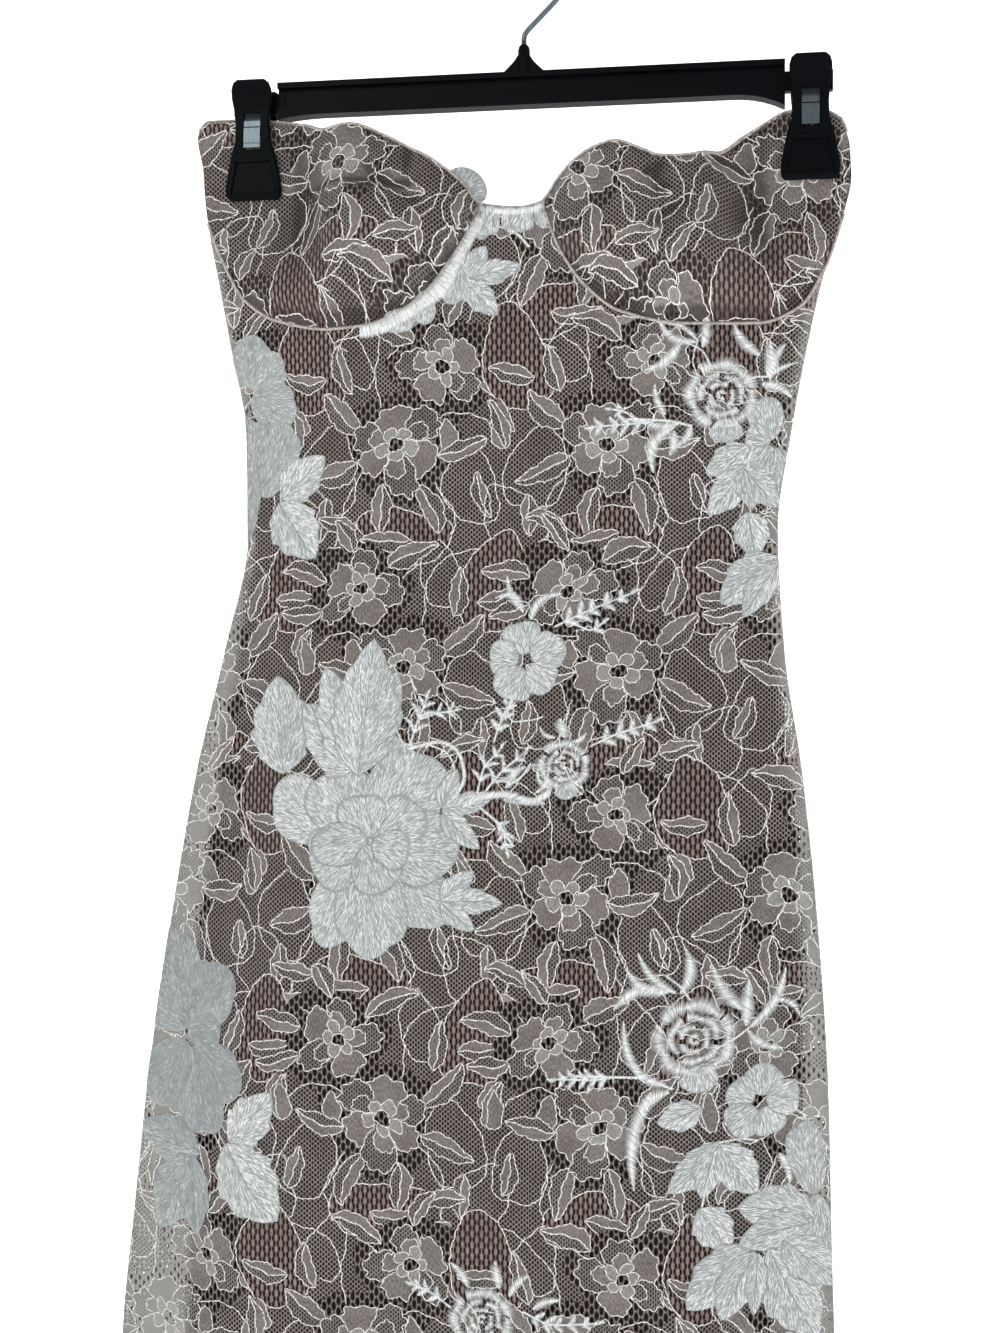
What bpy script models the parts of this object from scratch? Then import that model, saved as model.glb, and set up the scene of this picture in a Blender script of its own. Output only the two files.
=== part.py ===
"""Strapless corded-lace column dress, hung by its top edge from a black clip hanger.

Units are metres. +Z is up, +X is picture right, and the front of the dress faces -Y.
The origin is the inside top of the wire hook, where a rail would carry the hanger.
The dress is a hollow flat tube: front and back lace, a narrower lining inside them, two bust
cups, and embroidered pieces laid on the front lace.
"""
from math import atan2, cos, hypot, pi, radians, sin

import bmesh
import bpy
import numpy as np

# Cloth walls and the gaps between neighbours
LACE_WALL = 0.0010
LINING_WALL = 0.0010
CUP_WALL = 0.0022
LINING_GAP = 0.0008
SEAM_GAP = 0.0003
LAID_GAP = 0.0006
APPLIQUE_WALL = 0.0011

# Half thickness of the flat-hung tube at its side seams and under the clips
EDGE_RADIUS = 0.0031
LINING_EDGE_RADIUS = EDGE_RADIUS - LACE_WALL - LINING_GAP
SIDE_ROUND = 0.085
LINING_SIDE_ROUND = 0.035
LINING_LOOSE_BODICE = 0.0006
LINING_LOOSE_SKIRT = 0.0024
LOOSE_START = -0.29
LOOSE_LENGTH = 0.12

HEM = -1.160
LINING_HEM = -1.138
LINING_TOP_DROP = 0.0016

# Outline of the lace tube from the front, and its depth in front of and behind the side seams
OUTLINE_COLUMNS = ("z", "left", "right", "front", "back", "lining_in_left", "lining_in_right")
OUTLINE = (
    (-0.095, -0.2020, 0.1830, 0.012, 0.007, 0.0040, 0.0045),
    (-0.108, -0.2026, 0.1845, 0.014, 0.008, 0.0040, 0.0045),
    (-0.127, -0.1994, 0.1885, 0.016, 0.009, 0.0040, 0.0045),
    (-0.146, -0.1980, 0.1896, 0.018, 0.010, 0.0040, 0.0045),
    (-0.164, -0.1956, 0.1862, 0.019, 0.011, 0.0040, 0.0045),
    (-0.200, -0.1887, 0.1745, 0.020, 0.013, 0.0040, 0.0045),
    (-0.237, -0.1817, 0.1658, 0.020, 0.014, 0.0040, 0.0045),
    (-0.292, -0.1717, 0.1555, 0.018, 0.014, 0.0040, 0.0045),
    (-0.350, -0.1710, 0.1475, 0.018, 0.015, 0.0040, 0.0045),
    (-0.420, -0.1855, 0.1512, 0.022, 0.019, 0.0090, 0.0045),
    (-0.493, -0.2032, 0.1616, 0.027, 0.024, 0.0150, 0.0055),
    (-0.585, -0.2197, 0.1708, 0.031, 0.028, 0.0190, 0.0095),
    (-0.677, -0.2337, 0.1765, 0.033, 0.030, 0.0320, 0.0145),
    (-0.770, -0.2439, 0.1785, 0.034, 0.031, 0.0420, 0.0165),
    (-0.830, -0.2500, 0.1802, 0.034, 0.031, 0.0460, 0.0175),
    (-1.000, -0.2580, 0.1830, 0.035, 0.032, 0.0500, 0.0190),
    (-1.160, -0.2620, 0.1850, 0.036, 0.033, 0.0520, 0.0200),
)

# Top edge of the two cups and the gore between them, along X
NECKLINE_COLUMNS = ("x", "z")
NECKLINE = (
    (-0.2030, -0.1075),
    (-0.1950, -0.0992),
    (-0.1830, -0.0990),
    (-0.1520, -0.1012),
    (-0.1350, -0.1040),
    (-0.1180, -0.1108),
    (-0.1003, -0.1118),
    (-0.0800, -0.1198),
    (-0.0640, -0.1283),
    (-0.0470, -0.1391),
    (-0.0340, -0.1495),
    (-0.0262, -0.1592),
    (-0.0020, -0.1622),
    (0.0120, -0.1590),
    (0.0226, -0.1462),
    (0.0320, -0.1376),
    (0.0410, -0.1327),
    (0.0540, -0.1298),
    (0.0684, -0.1353),
    (0.0800, -0.1405),
    (0.0940, -0.1416),
    (0.1122, -0.1372),
    (0.1285, -0.1227),
    (0.1428, -0.1130),
    (0.1514, -0.1086),
    (0.1660, -0.1065),
    (0.1829, -0.1128),
    (0.1896, -0.1300),
)

# Seam where the cups meet the front panel: each underwire curve, and the gore between them
WIRE_COLUMNS = ("x", "z")
WIRE_LEFT = (
    (-0.1965, -0.1580),
    (-0.1880, -0.1800),
    (-0.1720, -0.2085),
    (-0.1500, -0.2225),
    (-0.1140, -0.2300),
    (-0.0950, -0.2290),
    (-0.0780, -0.2236),
    (-0.0600, -0.2124),
    (-0.0430, -0.1920),
    (-0.0262, -0.1645),
)
WIRE_RIGHT = (
    (0.0130, -0.1645),
    (0.0220, -0.1880),
    (0.0366, -0.2090),
    (0.0570, -0.2245),
    (0.0920, -0.2323),
    (0.1370, -0.2310),
    (0.1600, -0.2215),
    (0.1740, -0.2000),
    (0.1862, -0.1650),
)

# Top edge of the back, straight across and a little lower in the middle
BACK_TOP_COLUMNS = ("x", "z")
BACK_TOP = (
    (-0.2030, -0.1085),
    (-0.1900, -0.1010),
    (-0.1660, -0.1010),
    (-0.1480, -0.1065),
    (-0.1200, -0.1220),
    (-0.0900, -0.1370),
    (-0.0500, -0.1570),
    (0.0000, -0.1680),
    (0.0500, -0.1610),
    (0.0900, -0.1490),
    (0.1200, -0.1420),
    (0.1400, -0.1220),
    (0.1520, -0.1120),
    (0.1660, -0.1080),
    (0.1820, -0.1140),
    (0.1896, -0.1310),
)

# Bust cups: centre X, half width, how far each stands out from the panel below it, the share
# of its height where it is fullest, and the share of that depth left at its top edge
CUP_SHAPES = {
    "left": (-0.105, 0.0905, 0.036, 0.44, 0.60),
    "right": (0.098, 0.0900, 0.037, 0.44, 0.58),
}

# Collapsed stretches of the cups: the cloth above each line sits back behind the cloth below.
# Each row: both ends of the line as X and Z, set back, fade at its ends, softness
CUP_FOLDS = {
    "left": ((-0.152, -0.1480, -0.062, -0.1535, 0.0085, 0.016, 0.0045),),
    "right": ((0.110, -0.1440, 0.160, -0.1530, 0.0080, 0.012, 0.0045),),
}

# Soft troughs pressed into the cups, each along a line, deepest in its middle.
# Each row: both ends of the line as X and Z, depth, width
CUP_TROUGHS = (
    (-0.1000, -0.1310, -0.0490, -0.1700, 0.0040, 0.0070),
    (-0.1280, -0.1660, -0.1070, -0.2120, 0.0045, 0.0080),
    (-0.1720, -0.1560, -0.1600, -0.1950, 0.0030, 0.0080),
    (0.0700, -0.1870, 0.1080, -0.1600, 0.0040, 0.0075),
    (0.0220, -0.1860, 0.0450, -0.2120, 0.0030, 0.0070),
    (0.1340, -0.1640, 0.1500, -0.2050, 0.0040, 0.0080),
    (0.0740, -0.1400, 0.0860, -0.1700, 0.0045, 0.0090),
)

# Long soft folds down the skirt: X at waist and hem, half width and depth at the hem
SKIRT_FOLDS = (
    (-0.120, -0.190, 0.030, 0.0050),
    (-0.060, -0.085, 0.036, -0.0030),
    (0.030, 0.035, 0.030, 0.0035),
    (0.100, 0.125, 0.030, -0.0030),
)
FOLD_START = -0.33

# Clip hanger
CLIP_X = 0.166
PINCH_HALF = 0.025
PINCH_FADE = 0.042
PINCH_FOOT = -0.160
PINCH_FOOT_FADE = 0.075
BAR_TOP = -0.0777
BAR_BOTTOM = -0.0976
BAR_END = 0.1515
TOP_LIP = 0.0034
LOW_LIP = 0.0064
LIP_HALF = 0.0046
WEB_HALF = 0.0016
ROD_END = 0.1790
ROD_TOP = -0.0845
ROD_BOTTOM = -0.0960
ROD_HALF = 0.0024
FLARE_LENGTH = 0.030
FLARE_DROP = {"left": 0.0024, "right": 0.0072}
FLARE_STATIONS = 6
FLARE_CURVE = 2.2
ROD_OVERLAP = 0.004
GUSSET_OVERLAP = 0.001
BOSS_X = -0.0018
BOSS_RADIUS = 0.0036
BOSS_TOP = -0.0606
GUSSET_HALF = 0.0128
GUSSET_THICK = 0.0034
# Half widths of the gusset's sloping side and their heights, from the bar up
GUSSET_SIDE = ((0.0062, -0.0712), (0.0030, -0.0665))
# Heights up the boss and the share of its radius at each
BOSS_PROFILE = ((-0.0792, 1.0), (-0.0640, 1.0), (-0.0620, 0.85), (BOSS_TOP, 0.50))
BOSS_SIDES = 14
HOOK_WIRE = 0.0016
HOOK_RADIUS = 0.0225
HOOK_START_ANGLE = -45.0
HOOK_TIP_ANGLE = 205.0
HOOK_STEPS = 22
HOOK_SIDES = 10
HOOK_BEND = 0.0028
BEND_STEPS = 4

# One clip jaw from top to bottom: Z, half width, Y of its inner face, thickness
JAW = (
    (-0.0777, 0.0086, 0.0108, 0.0016),
    (-0.0795, 0.0110, 0.0100, 0.0022),
    (-0.0830, 0.0122, 0.0090, 0.0024),
    (-0.0880, 0.0123, 0.0076, 0.0024),
    (-0.0940, 0.0113, 0.0066, 0.0024),
    (-0.1040, 0.0104, 0.0060, 0.0024),
    (-0.1130, 0.0108, 0.0055, 0.0026),
    (-0.1220, 0.0136, 0.0040, 0.0034),
    (-0.1260, 0.0144, 0.0034, 0.0038),
    (-0.1350, 0.0162, 0.0034, 0.0038),
    (-0.1420, 0.0171, 0.0034, 0.0036),
    (-0.1462, 0.0166, 0.0034, 0.0032),
    (-0.1482, 0.0146, 0.0034, 0.0024),
)
WINDOW_TOP = -0.0965
WINDOW_BOTTOM = -0.1183
SPRING_HALF = 0.0050
SPRING_THICK = 0.0007
# Centre line of one leg of the spring as Y and Z, from its foot to the top of the bend
SPRING = (
    (0.0091, -0.1176),
    (0.0088, -0.1080),
    (0.0078, -0.1015),
    (0.0051, -0.0962),
    (0.0044, -0.0880),
    (0.0030, -0.0826),
    (0.0000, -0.0806),
)
JAW_BEVEL = 0.0008
WINDOW_REACH = (0.0020, 0.0200)
PAD_ROW = 9
PAD_REACH = 0.004
PAD_RECESS = 0.0011
PAD_TOP = -0.1255
PAD_BOTTOM = -0.1440
PAD_HALF_TOP = 0.0100
PAD_HALF_BOTTOM = 0.0138

# Embroidered band along the picture-left underwire
BAND_START = -0.0965
BAND_END = -0.0285
BAND_WIDTH = 0.0120
BAND_INSET = 0.0012
BAND_STATIONS = 15
BAND_TAPER = 0.06
BAND_SCALLOPS = 5
BAND_SCALLOP_DEPTH = 0.10

# Appliques on the front lace: name, kind, centre X and Z, turn in degrees, length, width,
# petals or lobes; a flower's length and width are its radii
APPLIQUES = (
    ("flower_large", "flower", -0.0800, -0.5400, 12, 0.0500, 0.0460, 7),
    ("leaf_serrated", "leaf", -0.0990, -0.4530, 80, 0.0840, 0.0480, 4),
    ("leaf_upper_left", "leaf", -0.1450, -0.4660, 75, 0.0580, 0.0330, 2),
    ("petal_left", "leaf", -0.1480, -0.5150, 150, 0.0360, 0.0260, 0),
    ("flower_open", "flower", 0.0026, -0.4262, 20, 0.0200, 0.0190, 5),
    ("rose_small", "flower", 0.0251, -0.4865, 0, 0.0170, 0.0170, 6),
    ("leaf_stem_upper", "leaf", -0.0245, -0.5040, 250, 0.0400, 0.0130, 0),
    ("leaf_pair_left", "leaf", -0.0260, -0.5460, 120, 0.0200, 0.0130, 0),
    ("leaf_pair_right", "leaf", -0.0090, -0.5660, 30, 0.0200, 0.0120, 0),
    ("leaf_sprig_bust", "leaf", -0.0130, -0.2010, 35, 0.0330, 0.0140, 2),
    ("rose_upper", "flower", 0.1110, -0.2690, 0, 0.0235, 0.0220, 8),
    ("flower_upper", "flower", 0.1370, -0.2960, 30, 0.0115, 0.0105, 5),
    ("leaf_side_one", "leaf", 0.1185, -0.3060, 60, 0.0170, 0.0130, 1),
    ("leaf_side_two", "leaf", 0.1270, -0.3255, 50, 0.0260, 0.0210, 2),
    ("leaf_side_low", "leaf", 0.1250, -0.3515, 75, 0.0210, 0.0180, 2),
    ("leaf_side_three", "leaf", 0.1225, -0.3835, 55, 0.0350, 0.0230, 3),
    ("petal_edge_upper", "leaf", -0.1610, -0.2550, 95, 0.0430, 0.0200, 2),
    ("petal_edge_lower", "leaf", -0.1570, -0.3020, 80, 0.0380, 0.0160, 1),
    ("leaf_edge_upper", "leaf", -0.1290, -0.3200, 55, 0.0240, 0.0170, 1),
    ("leaf_edge_lower", "leaf", -0.1450, -0.3430, 110, 0.0380, 0.0190, 2),
    ("rose_lower", "flower", 0.1005, -0.6442, 0, 0.0255, 0.0240, 8),
    ("flower_lower", "flower", 0.1410, -0.6760, 15, 0.0190, 0.0180, 5),
    ("leaf_lower_one", "leaf", 0.1090, -0.7010, 75, 0.0380, 0.0240, 2),
    ("leaf_lower_two", "leaf", 0.1090, -0.7440, 95, 0.0340, 0.0190, 2),
    ("leaf_lower_three", "leaf", 0.1450, -0.7350, 65, 0.0560, 0.0300, 3),
    ("leaf_lower_four", "leaf", 0.1180, -0.7930, 45, 0.0480, 0.0330, 3),
    ("leaf_lower_five", "leaf", 0.1590, -0.7900, 100, 0.0400, 0.0210, 2),
    ("leaf_left_small", "leaf", -0.1640, -0.6930, 50, 0.0300, 0.0210, 1),
    ("leaf_left_large", "leaf", -0.1660, -0.7340, 110, 0.0480, 0.0320, 1),
    ("flower_hem", "flower", -0.0227, -0.8060, 10, 0.0230, 0.0210, 6),
    ("flower_left_upper", "flower", -0.1970, -0.6150, 60, 0.0250, 0.0170, 4),
    ("flower_left_lower", "flower", -0.2050, -0.6720, 80, 0.0260, 0.0190, 5),
    ("leaf_left_low", "leaf", -0.2180, -0.7300, 95, 0.0580, 0.0260, 2),
)

# Flowers: how far their petals reach in between, their roundness, and their inner ring.
# Leaves: where they are widest, their fullness, the depth of their teeth, and their inner ring
FLOWER_VALLEY = 0.80
FLOWER_ROUND = 0.7
FLOWER_INNER = 0.55
LEAF_SKEW = 0.80
LEAF_FULL = 0.85
LEAF_TEETH = 0.10
LEAF_INNER = 0.5
# Share of an applique's thickness at its edge, its inner ring and its middle
RING_LIFTS = {"flower": (0.45, 1.0, 0.75), "leaf": (0.45, 1.0, 1.0)}

# Seam fitting: step for a slope, gap between cup and underwire, its limit on steep stretches,
# and the gore's short rise to the top edge at each end
SLOPE_STEP = 0.001
CUP_SEAM_GAP = 0.0006
CUP_SEAM_MOST = 0.002
GORE_RISE = 0.004
# Columns settle on sloping side seams from a first guess of their height
FIRST_TOP = -0.2
FIRST_CUP_TOP = -0.13
SETTLE_PASSES = 12
# How strongly columns crowd towards the side seams
BOTH_CROWD = 0.55
ONE_CROWD = 1.35

# Mesh density of the walls
BODY_COLUMNS = 34
BODY_ROWS = 19
BACK_HALF_COLUMNS = 13
BACK_ROWS = 17
LINING_COLUMNS = 18
LINING_ROWS = 17
CUP_STATIONS = 19
CUP_ROWS = 9
CAP_STEPS = (0.0, 30.0, 60.0, 90.0)
FLOWER_SPOKES = 20
LEAF_STATIONS = 8

# Finishes: colour, roughness and metallic
FINISHES = {
    "lace": ((0.46, 0.43, 0.41), 0.85, 0.0),
    "lining": ((0.22, 0.16, 0.145), 0.80, 0.0),
    "applique": ((0.68, 0.71, 0.70), 0.75, 0.0),
    "hanger": ((0.010, 0.011, 0.014), 0.35, 0.0),
    "steel": ((0.55, 0.56, 0.57), 0.30, 1.0),
}


def table(rows, names):
    """Turn a table's rows into one array for each named column."""
    values = np.array(rows, dtype=float)
    return {name: values[:, i] for i, name in enumerate(names)}


def smooth_curve(at, knots, values):
    """Cubic through the knots whose slope is limited, so it never overshoots them."""
    step = np.diff(knots)
    slope = np.diff(values) / step
    tangent = np.zeros_like(values)
    same_way = slope[:-1] * slope[1:] > 0
    pair = slope[:-1] + slope[1:]
    safe = np.where(same_way, pair, 1.0)
    tangent[1:-1] = np.where(same_way, 2 * slope[:-1] * slope[1:] / safe, 0.0)
    tangent[0] = slope[0]
    tangent[-1] = slope[-1]
    at = np.clip(at, knots[0], knots[-1])
    i = np.clip(np.searchsorted(knots, at) - 1, 0, len(knots) - 2)
    t = (at - knots[i]) / step[i]
    rise = t * t * (3 - 2 * t)
    lead = t * (1 - t) ** 2 * step[i] * tangent[i]
    trail = t * t * (1 - t) * step[i] * tangent[i + 1]
    return values[i] + rise * (values[i + 1] - values[i]) + lead - trail


def ease(t):
    """Smooth step from 0 to 1 with level ends."""
    t = np.clip(t, 0.0, 1.0)
    return t * t * (3 - 2 * t)


OUTLINE_TABLE = table(OUTLINE, OUTLINE_COLUMNS)
NECK_TABLE = table(NECKLINE, NECKLINE_COLUMNS)
WIRE_LEFT_TABLE = table(WIRE_LEFT, WIRE_COLUMNS)
WIRE_RIGHT_TABLE = table(WIRE_RIGHT, WIRE_COLUMNS)
BACK_TABLE = table(BACK_TOP, BACK_TOP_COLUMNS)


def outline(name, z):
    """One named column of the outline at height z."""
    order = OUTLINE_TABLE["z"][::-1]
    return smooth_curve(np.asarray(z, dtype=float), order, OUTLINE_TABLE[name][::-1])


def neck(x):
    """Height of the front top edge at X."""
    return smooth_curve(np.asarray(x, dtype=float), NECK_TABLE["x"], NECK_TABLE["z"])


def back_top(x):
    """Height of the back top edge at X."""
    return smooth_curve(np.asarray(x, dtype=float), BACK_TABLE["x"], BACK_TABLE["z"])


def wire(x):
    """Height of the seam under the cups at X, and of the gore's top edge between them."""
    x = np.asarray(x, dtype=float)
    left = smooth_curve(x, WIRE_LEFT_TABLE["x"], WIRE_LEFT_TABLE["z"])
    right = smooth_curve(x, WIRE_RIGHT_TABLE["x"], WIRE_RIGHT_TABLE["z"])
    low, high = WIRE_LEFT_TABLE["x"][-1], WIRE_RIGHT_TABLE["x"][0]
    share = np.clip((x - low) / GORE_RISE, 0, 1) * np.clip((high - x) / GORE_RISE, 0, 1)
    edge = np.where(x < (low + high) / 2, WIRE_LEFT_TABLE["z"][-1], WIRE_RIGHT_TABLE["z"][0])
    gore = edge + (neck(x) - edge) * share
    return np.where(x <= low, left, np.where(x >= high, right, gore))


def wire_slope(x):
    """Slope of that seam at X."""
    return (wire(x + SLOPE_STEP) - wire(x - SLOPE_STEP)) / (2 * SLOPE_STEP)


def pinch(x, z):
    """How far the clips press the tube flat: 1 under a clip, 0 away from both."""
    beside = 1 - ease((np.abs(np.abs(x) - CLIP_X) - PINCH_HALF) / PINCH_FADE)
    outer = np.where(np.abs(x) > CLIP_X, 1.0, beside)
    below = 1 - ease((PINCH_FOOT - z) / PINCH_FOOT_FADE)
    return outer * below


def skirt_folds(x, z):
    """Depth of the long soft folds, none at the waist and deepest at the hem."""
    share = ease((FOLD_START - z) / (FOLD_START - HEM))
    depth = np.zeros(np.broadcast(x, z).shape)
    for x_waist, x_hem, half_width, fold_depth in SKIRT_FOLDS:
        centre = x_waist + (x_hem - x_waist) * share
        depth = depth + fold_depth * share * np.exp(-((x - centre) / half_width) ** 2)
    return depth


def tube_depth(x, z, face):
    """Distance of the lace from the side-seam plane: a rounded lip, then a soft rise."""
    left, right = outline("left", z), outline("right", z)
    inset = np.minimum(x - left, right - x)
    lip = np.clip(inset, 0, EDGE_RADIUS)
    cap = np.sqrt(np.clip(EDGE_RADIUS ** 2 - (EDGE_RADIUS - lip) ** 2, 0, None))
    rise = ease((inset - EDGE_RADIUS) / SIDE_ROUND) * (1 - pinch(x, z))
    full = outline(face, z) - EDGE_RADIUS
    folds = skirt_folds(x, z) * (1.0 if face == "front" else -0.8)
    return cap + rise * (full + folds)


def line_distance(x, z, x0, z0, x1, z1):
    """Distance of points from a straight line, and how far along it they are, 0 to 1."""
    length = hypot(x1 - x0, z1 - z0)
    along = ((x - x0) * (x1 - x0) + (z - z0) * (z1 - z0)) / length ** 2
    off = ((x - x0) * (z1 - z0) - (z - z0) * (x1 - x0)) / length
    return off, along, length


def cup_bulge(x, z, side):
    """How far a cup stands out: full below its middle, less at its top edge, with its folds."""
    centre, half_width, depth, full_at, top_share = CUP_SHAPES[side]
    bottom, top = wire(x), neck(x)
    t = np.clip((z - bottom) / np.maximum(top - bottom, 0.002), 0, 1)
    across = np.clip(1 - ((x - centre) / half_width) ** 2, 0, None)
    up = np.where(t < full_at, np.sin(pi / 2 * np.minimum(t / full_at, 1)) ** 0.9,
                  1 - (1 - top_share) * (np.clip(t - full_at, 0, 1) / (1 - full_at)) ** 1.4)
    bulge = depth * across * up
    for x0, z0, x1, z1, set_back, fade, softness in CUP_FOLDS[side]:
        off, along, length = line_distance(x, z, x0, z0, x1, z1)
        inside = ease(along * length / fade + 0.5) * ease((1 - along) * length / fade + 0.5)
        bulge = bulge - set_back * inside * ease(0.5 - off / (2 * softness))
    for x0, z0, x1, z1, deep, width in CUP_TROUGHS:
        off, along, length = line_distance(x, z, x0, z0, x1, z1)
        inside = ease(4 * along) * ease(4 * (1 - along))
        bulge = bulge - deep * inside * np.exp(-(off / width) ** 2)
    return np.clip(bulge, 0, None) * (1 - pinch(x, z)) * ease(t / 0.12)


def front_point(x, z, out=0.0):
    """A point on the front lace, moved out by a distance."""
    return np.stack([x, -tube_depth(x, z, "front") - out, z], axis=-1)


def lining_depth(x, z, face):
    """Depth of the lining: just inside the lace, closing at its own narrower side seams."""
    left = outline("left", z) + outline("lining_in_left", z)
    right = outline("right", z) - outline("lining_in_right", z)
    inset = np.minimum(x - left, right - x)
    lip = np.clip(inset, 0, LINING_EDGE_RADIUS)
    cap = np.sqrt(np.clip(LINING_EDGE_RADIUS ** 2 - (LINING_EDGE_RADIUS - lip) ** 2, 0, None))
    loose = LINING_LOOSE_BODICE + LINING_LOOSE_SKIRT * ease((LOOSE_START - z) / LOOSE_LENGTH)
    room = tube_depth(x, z, face) - LACE_WALL - LINING_GAP - LINING_EDGE_RADIUS - loose
    rise = ease((inset - LINING_EDGE_RADIUS) / LINING_SIDE_ROUND)
    return cap + rise * np.clip(room, 0, None)


def finish(name):
    """The Principled material of one finish."""
    found = bpy.data.materials.get(name)
    if found:
        return found
    colour, roughness, metallic = FINISHES[name]
    material = bpy.data.materials.new(name)
    material.use_nodes = True
    shader = material.node_tree.nodes["Principled BSDF"]
    shader.inputs["Base Color"].default_value = (*colour, 1.0)
    shader.inputs["Roughness"].default_value = roughness
    shader.inputs["Metallic"].default_value = metallic
    return material


def add_object(name, points, faces, finish_name, sharp_angle=50.0):
    """Make one closed mesh object with its faces pointing out."""
    mesh = bpy.data.meshes.new(name)
    mesh.from_pydata([tuple(p) for p in points], [], faces)
    work = bmesh.new()
    work.from_mesh(mesh)
    bmesh.ops.recalc_face_normals(work, faces=work.faces)
    work.to_mesh(mesh)
    work.free()
    mesh.shade_smooth()
    mesh.set_sharp_from_angle(angle=radians(sharp_angle))
    mesh.materials.append(finish(finish_name))
    made = bpy.data.objects.new(name, mesh)
    bpy.context.scene.collection.objects.link(made)
    return made


def grid_normals(grid):
    """Unit normals of a grid of points, from the differences along its rows and columns."""
    down = np.gradient(grid, axis=0)
    along = np.gradient(grid, axis=1)
    normal = np.cross(down, along)
    return normal / np.maximum(np.linalg.norm(normal, axis=-1, keepdims=True), 1e-12)


def shell_faces(rows, columns):
    """Faces of a closed wall: an outer grid, an inner grid and the four edges between them."""
    inner = rows * columns

    def at(r, c):
        return r * columns + c

    faces = []
    for r in range(rows - 1):
        for c in range(columns - 1):
            quad = (at(r, c), at(r, c + 1), at(r + 1, c + 1), at(r + 1, c))
            faces.append(quad)
            faces.append(tuple(inner + i for i in reversed(quad)))
    ring = [at(0, c) for c in range(columns)]
    ring += [at(r, columns - 1) for r in range(1, rows)]
    ring += [at(rows - 1, c) for c in range(columns - 2, -1, -1)]
    ring += [at(r, 0) for r in range(rows - 2, 0, -1)]
    for a, b in zip(ring, ring[1:] + ring[:1]):
        faces.append((b, a, inner + a, inner + b))
    return faces


def cloth_wall(name, grid, wall, finish_name, inward_y, side_ends=()):
    """A cloth wall: the grid is its outer side, and its inner side is moved in by the wall."""
    normal = grid_normals(grid)
    if np.mean(normal[:, :, 1]) * inward_y < 0:
        normal = -normal
    for column, direction in side_ends:
        normal[:, column] = (direction, 0.0, 0.0)
    inner = grid + normal * wall
    inner[:, :, 1] = -inward_y * np.maximum(-inward_y * inner[:, :, 1], SEAM_GAP / 2)
    points = np.concatenate([grid.reshape(-1, 3), inner.reshape(-1, 3)])
    return add_object(name, points, shell_faces(*grid.shape[:2]), finish_name)


def across_columns(left, right, radius, count, left_cap, right_cap):
    """X of each column: close steps round a side lip, then wider steps away from it."""
    lip = [radius * (1 - cos(radians(a))) for a in CAP_STEPS]
    first = left[:, None] + (np.array(lip) if left_cap else np.array([0.0]))
    last = right[:, None] - (np.array(lip[::-1]) if right_cap else np.array([0.0]))
    share = np.linspace(0, 1, count)[1:-1]
    if left_cap and right_cap:
        share = share - BOTH_CROWD * np.sin(2 * pi * share) / (2 * pi)
    elif left_cap:
        share = share ** ONE_CROWD
    else:
        share = 1 - (1 - share) ** ONE_CROWD
    middle = first[:, -1:] + (last[:, :1] - first[:, -1:]) * share
    return np.concatenate([first, middle, last], axis=1)


def settle_top(column_x, top_of, rows):
    """Heights of a wall's rows: each column runs from its own top edge down to the hem."""
    top = np.full(column_x(np.full(rows, HEM)).shape[1], FIRST_TOP)
    for _ in range(SETTLE_PASSES):
        x = np.diagonal(column_x(top))
        top = top_of(x)
    return top


def wall_grid(column_x, top_of, bottom, shares, depth, sign):
    """Grid of points from the top edge to the bottom, closed at side seams by half the gap."""
    top = settle_top(column_x, top_of, len(shares))
    z = top[None, :] + (bottom - top[None, :]) * shares[:, None]
    x = np.stack([np.diagonal(column_x(row)) for row in z])
    y = sign * np.maximum(depth(x, z), SEAM_GAP / 2)
    return np.stack([x, y, z], axis=-1)


def row_shares(count, crowd=1.6):
    """Shares from top to bottom, closer together at the top."""
    return np.linspace(0, 1, count) ** crowd


def build_front_panel():
    """Front lace: from the underwires and the gore down to the hem."""
    def column_x(z):
        return across_columns(outline("left", z), outline("right", z), EDGE_RADIUS,
                              BODY_COLUMNS, True, True)

    grid = wall_grid(column_x, wire, HEM, row_shares(BODY_ROWS),
                     lambda x, z: tube_depth(x, z, "front"), -1)
    cloth_wall("lace_front", grid, LACE_WALL, "lace", 1, ((0, 1.0), (-1, -1.0)))


def build_back_panels():
    """Back lace: two panels that meet at the centre-back seam."""
    for side in ("left", "right"):
        def column_x(z, side=side):
            left, right = outline("left", z), outline("right", z)
            seam = (left + right) / 2
            if side == "left":
                return across_columns(left, seam - SEAM_GAP / 2, EDGE_RADIUS,
                                      BACK_HALF_COLUMNS, True, False)
            return across_columns(seam + SEAM_GAP / 2, right, EDGE_RADIUS,
                                  BACK_HALF_COLUMNS, False, True)

        grid = wall_grid(column_x, back_top, HEM, row_shares(BACK_ROWS),
                         lambda x, z: tube_depth(x, z, "back"), 1)
        ends = ((0, 1.0),) if side == "left" else ((-1, -1.0),)
        cloth_wall("lace_back_" + side, grid, LACE_WALL, "lace", -1, ends)


def build_linings():
    """Front and back lining, a narrower slip inside the lace."""
    for face, sign, top_of in (("front", -1, wire), ("back", 1, back_top)):
        def column_x(z):
            left = outline("left", z) + outline("lining_in_left", z)
            right = outline("right", z) - outline("lining_in_right", z)
            return across_columns(left, right, LINING_EDGE_RADIUS, LINING_COLUMNS, True, True)

        grid = wall_grid(column_x, lambda x, top_of=top_of: top_of(x) - LINING_TOP_DROP,
                         LINING_HEM, row_shares(LINING_ROWS),
                         lambda x, z, face=face: lining_depth(x, z, face), sign)
        cloth_wall("lining_" + face, grid, LINING_WALL, "lining", -sign,
                   ((0, 1.0), (-1, -1.0)))


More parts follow.
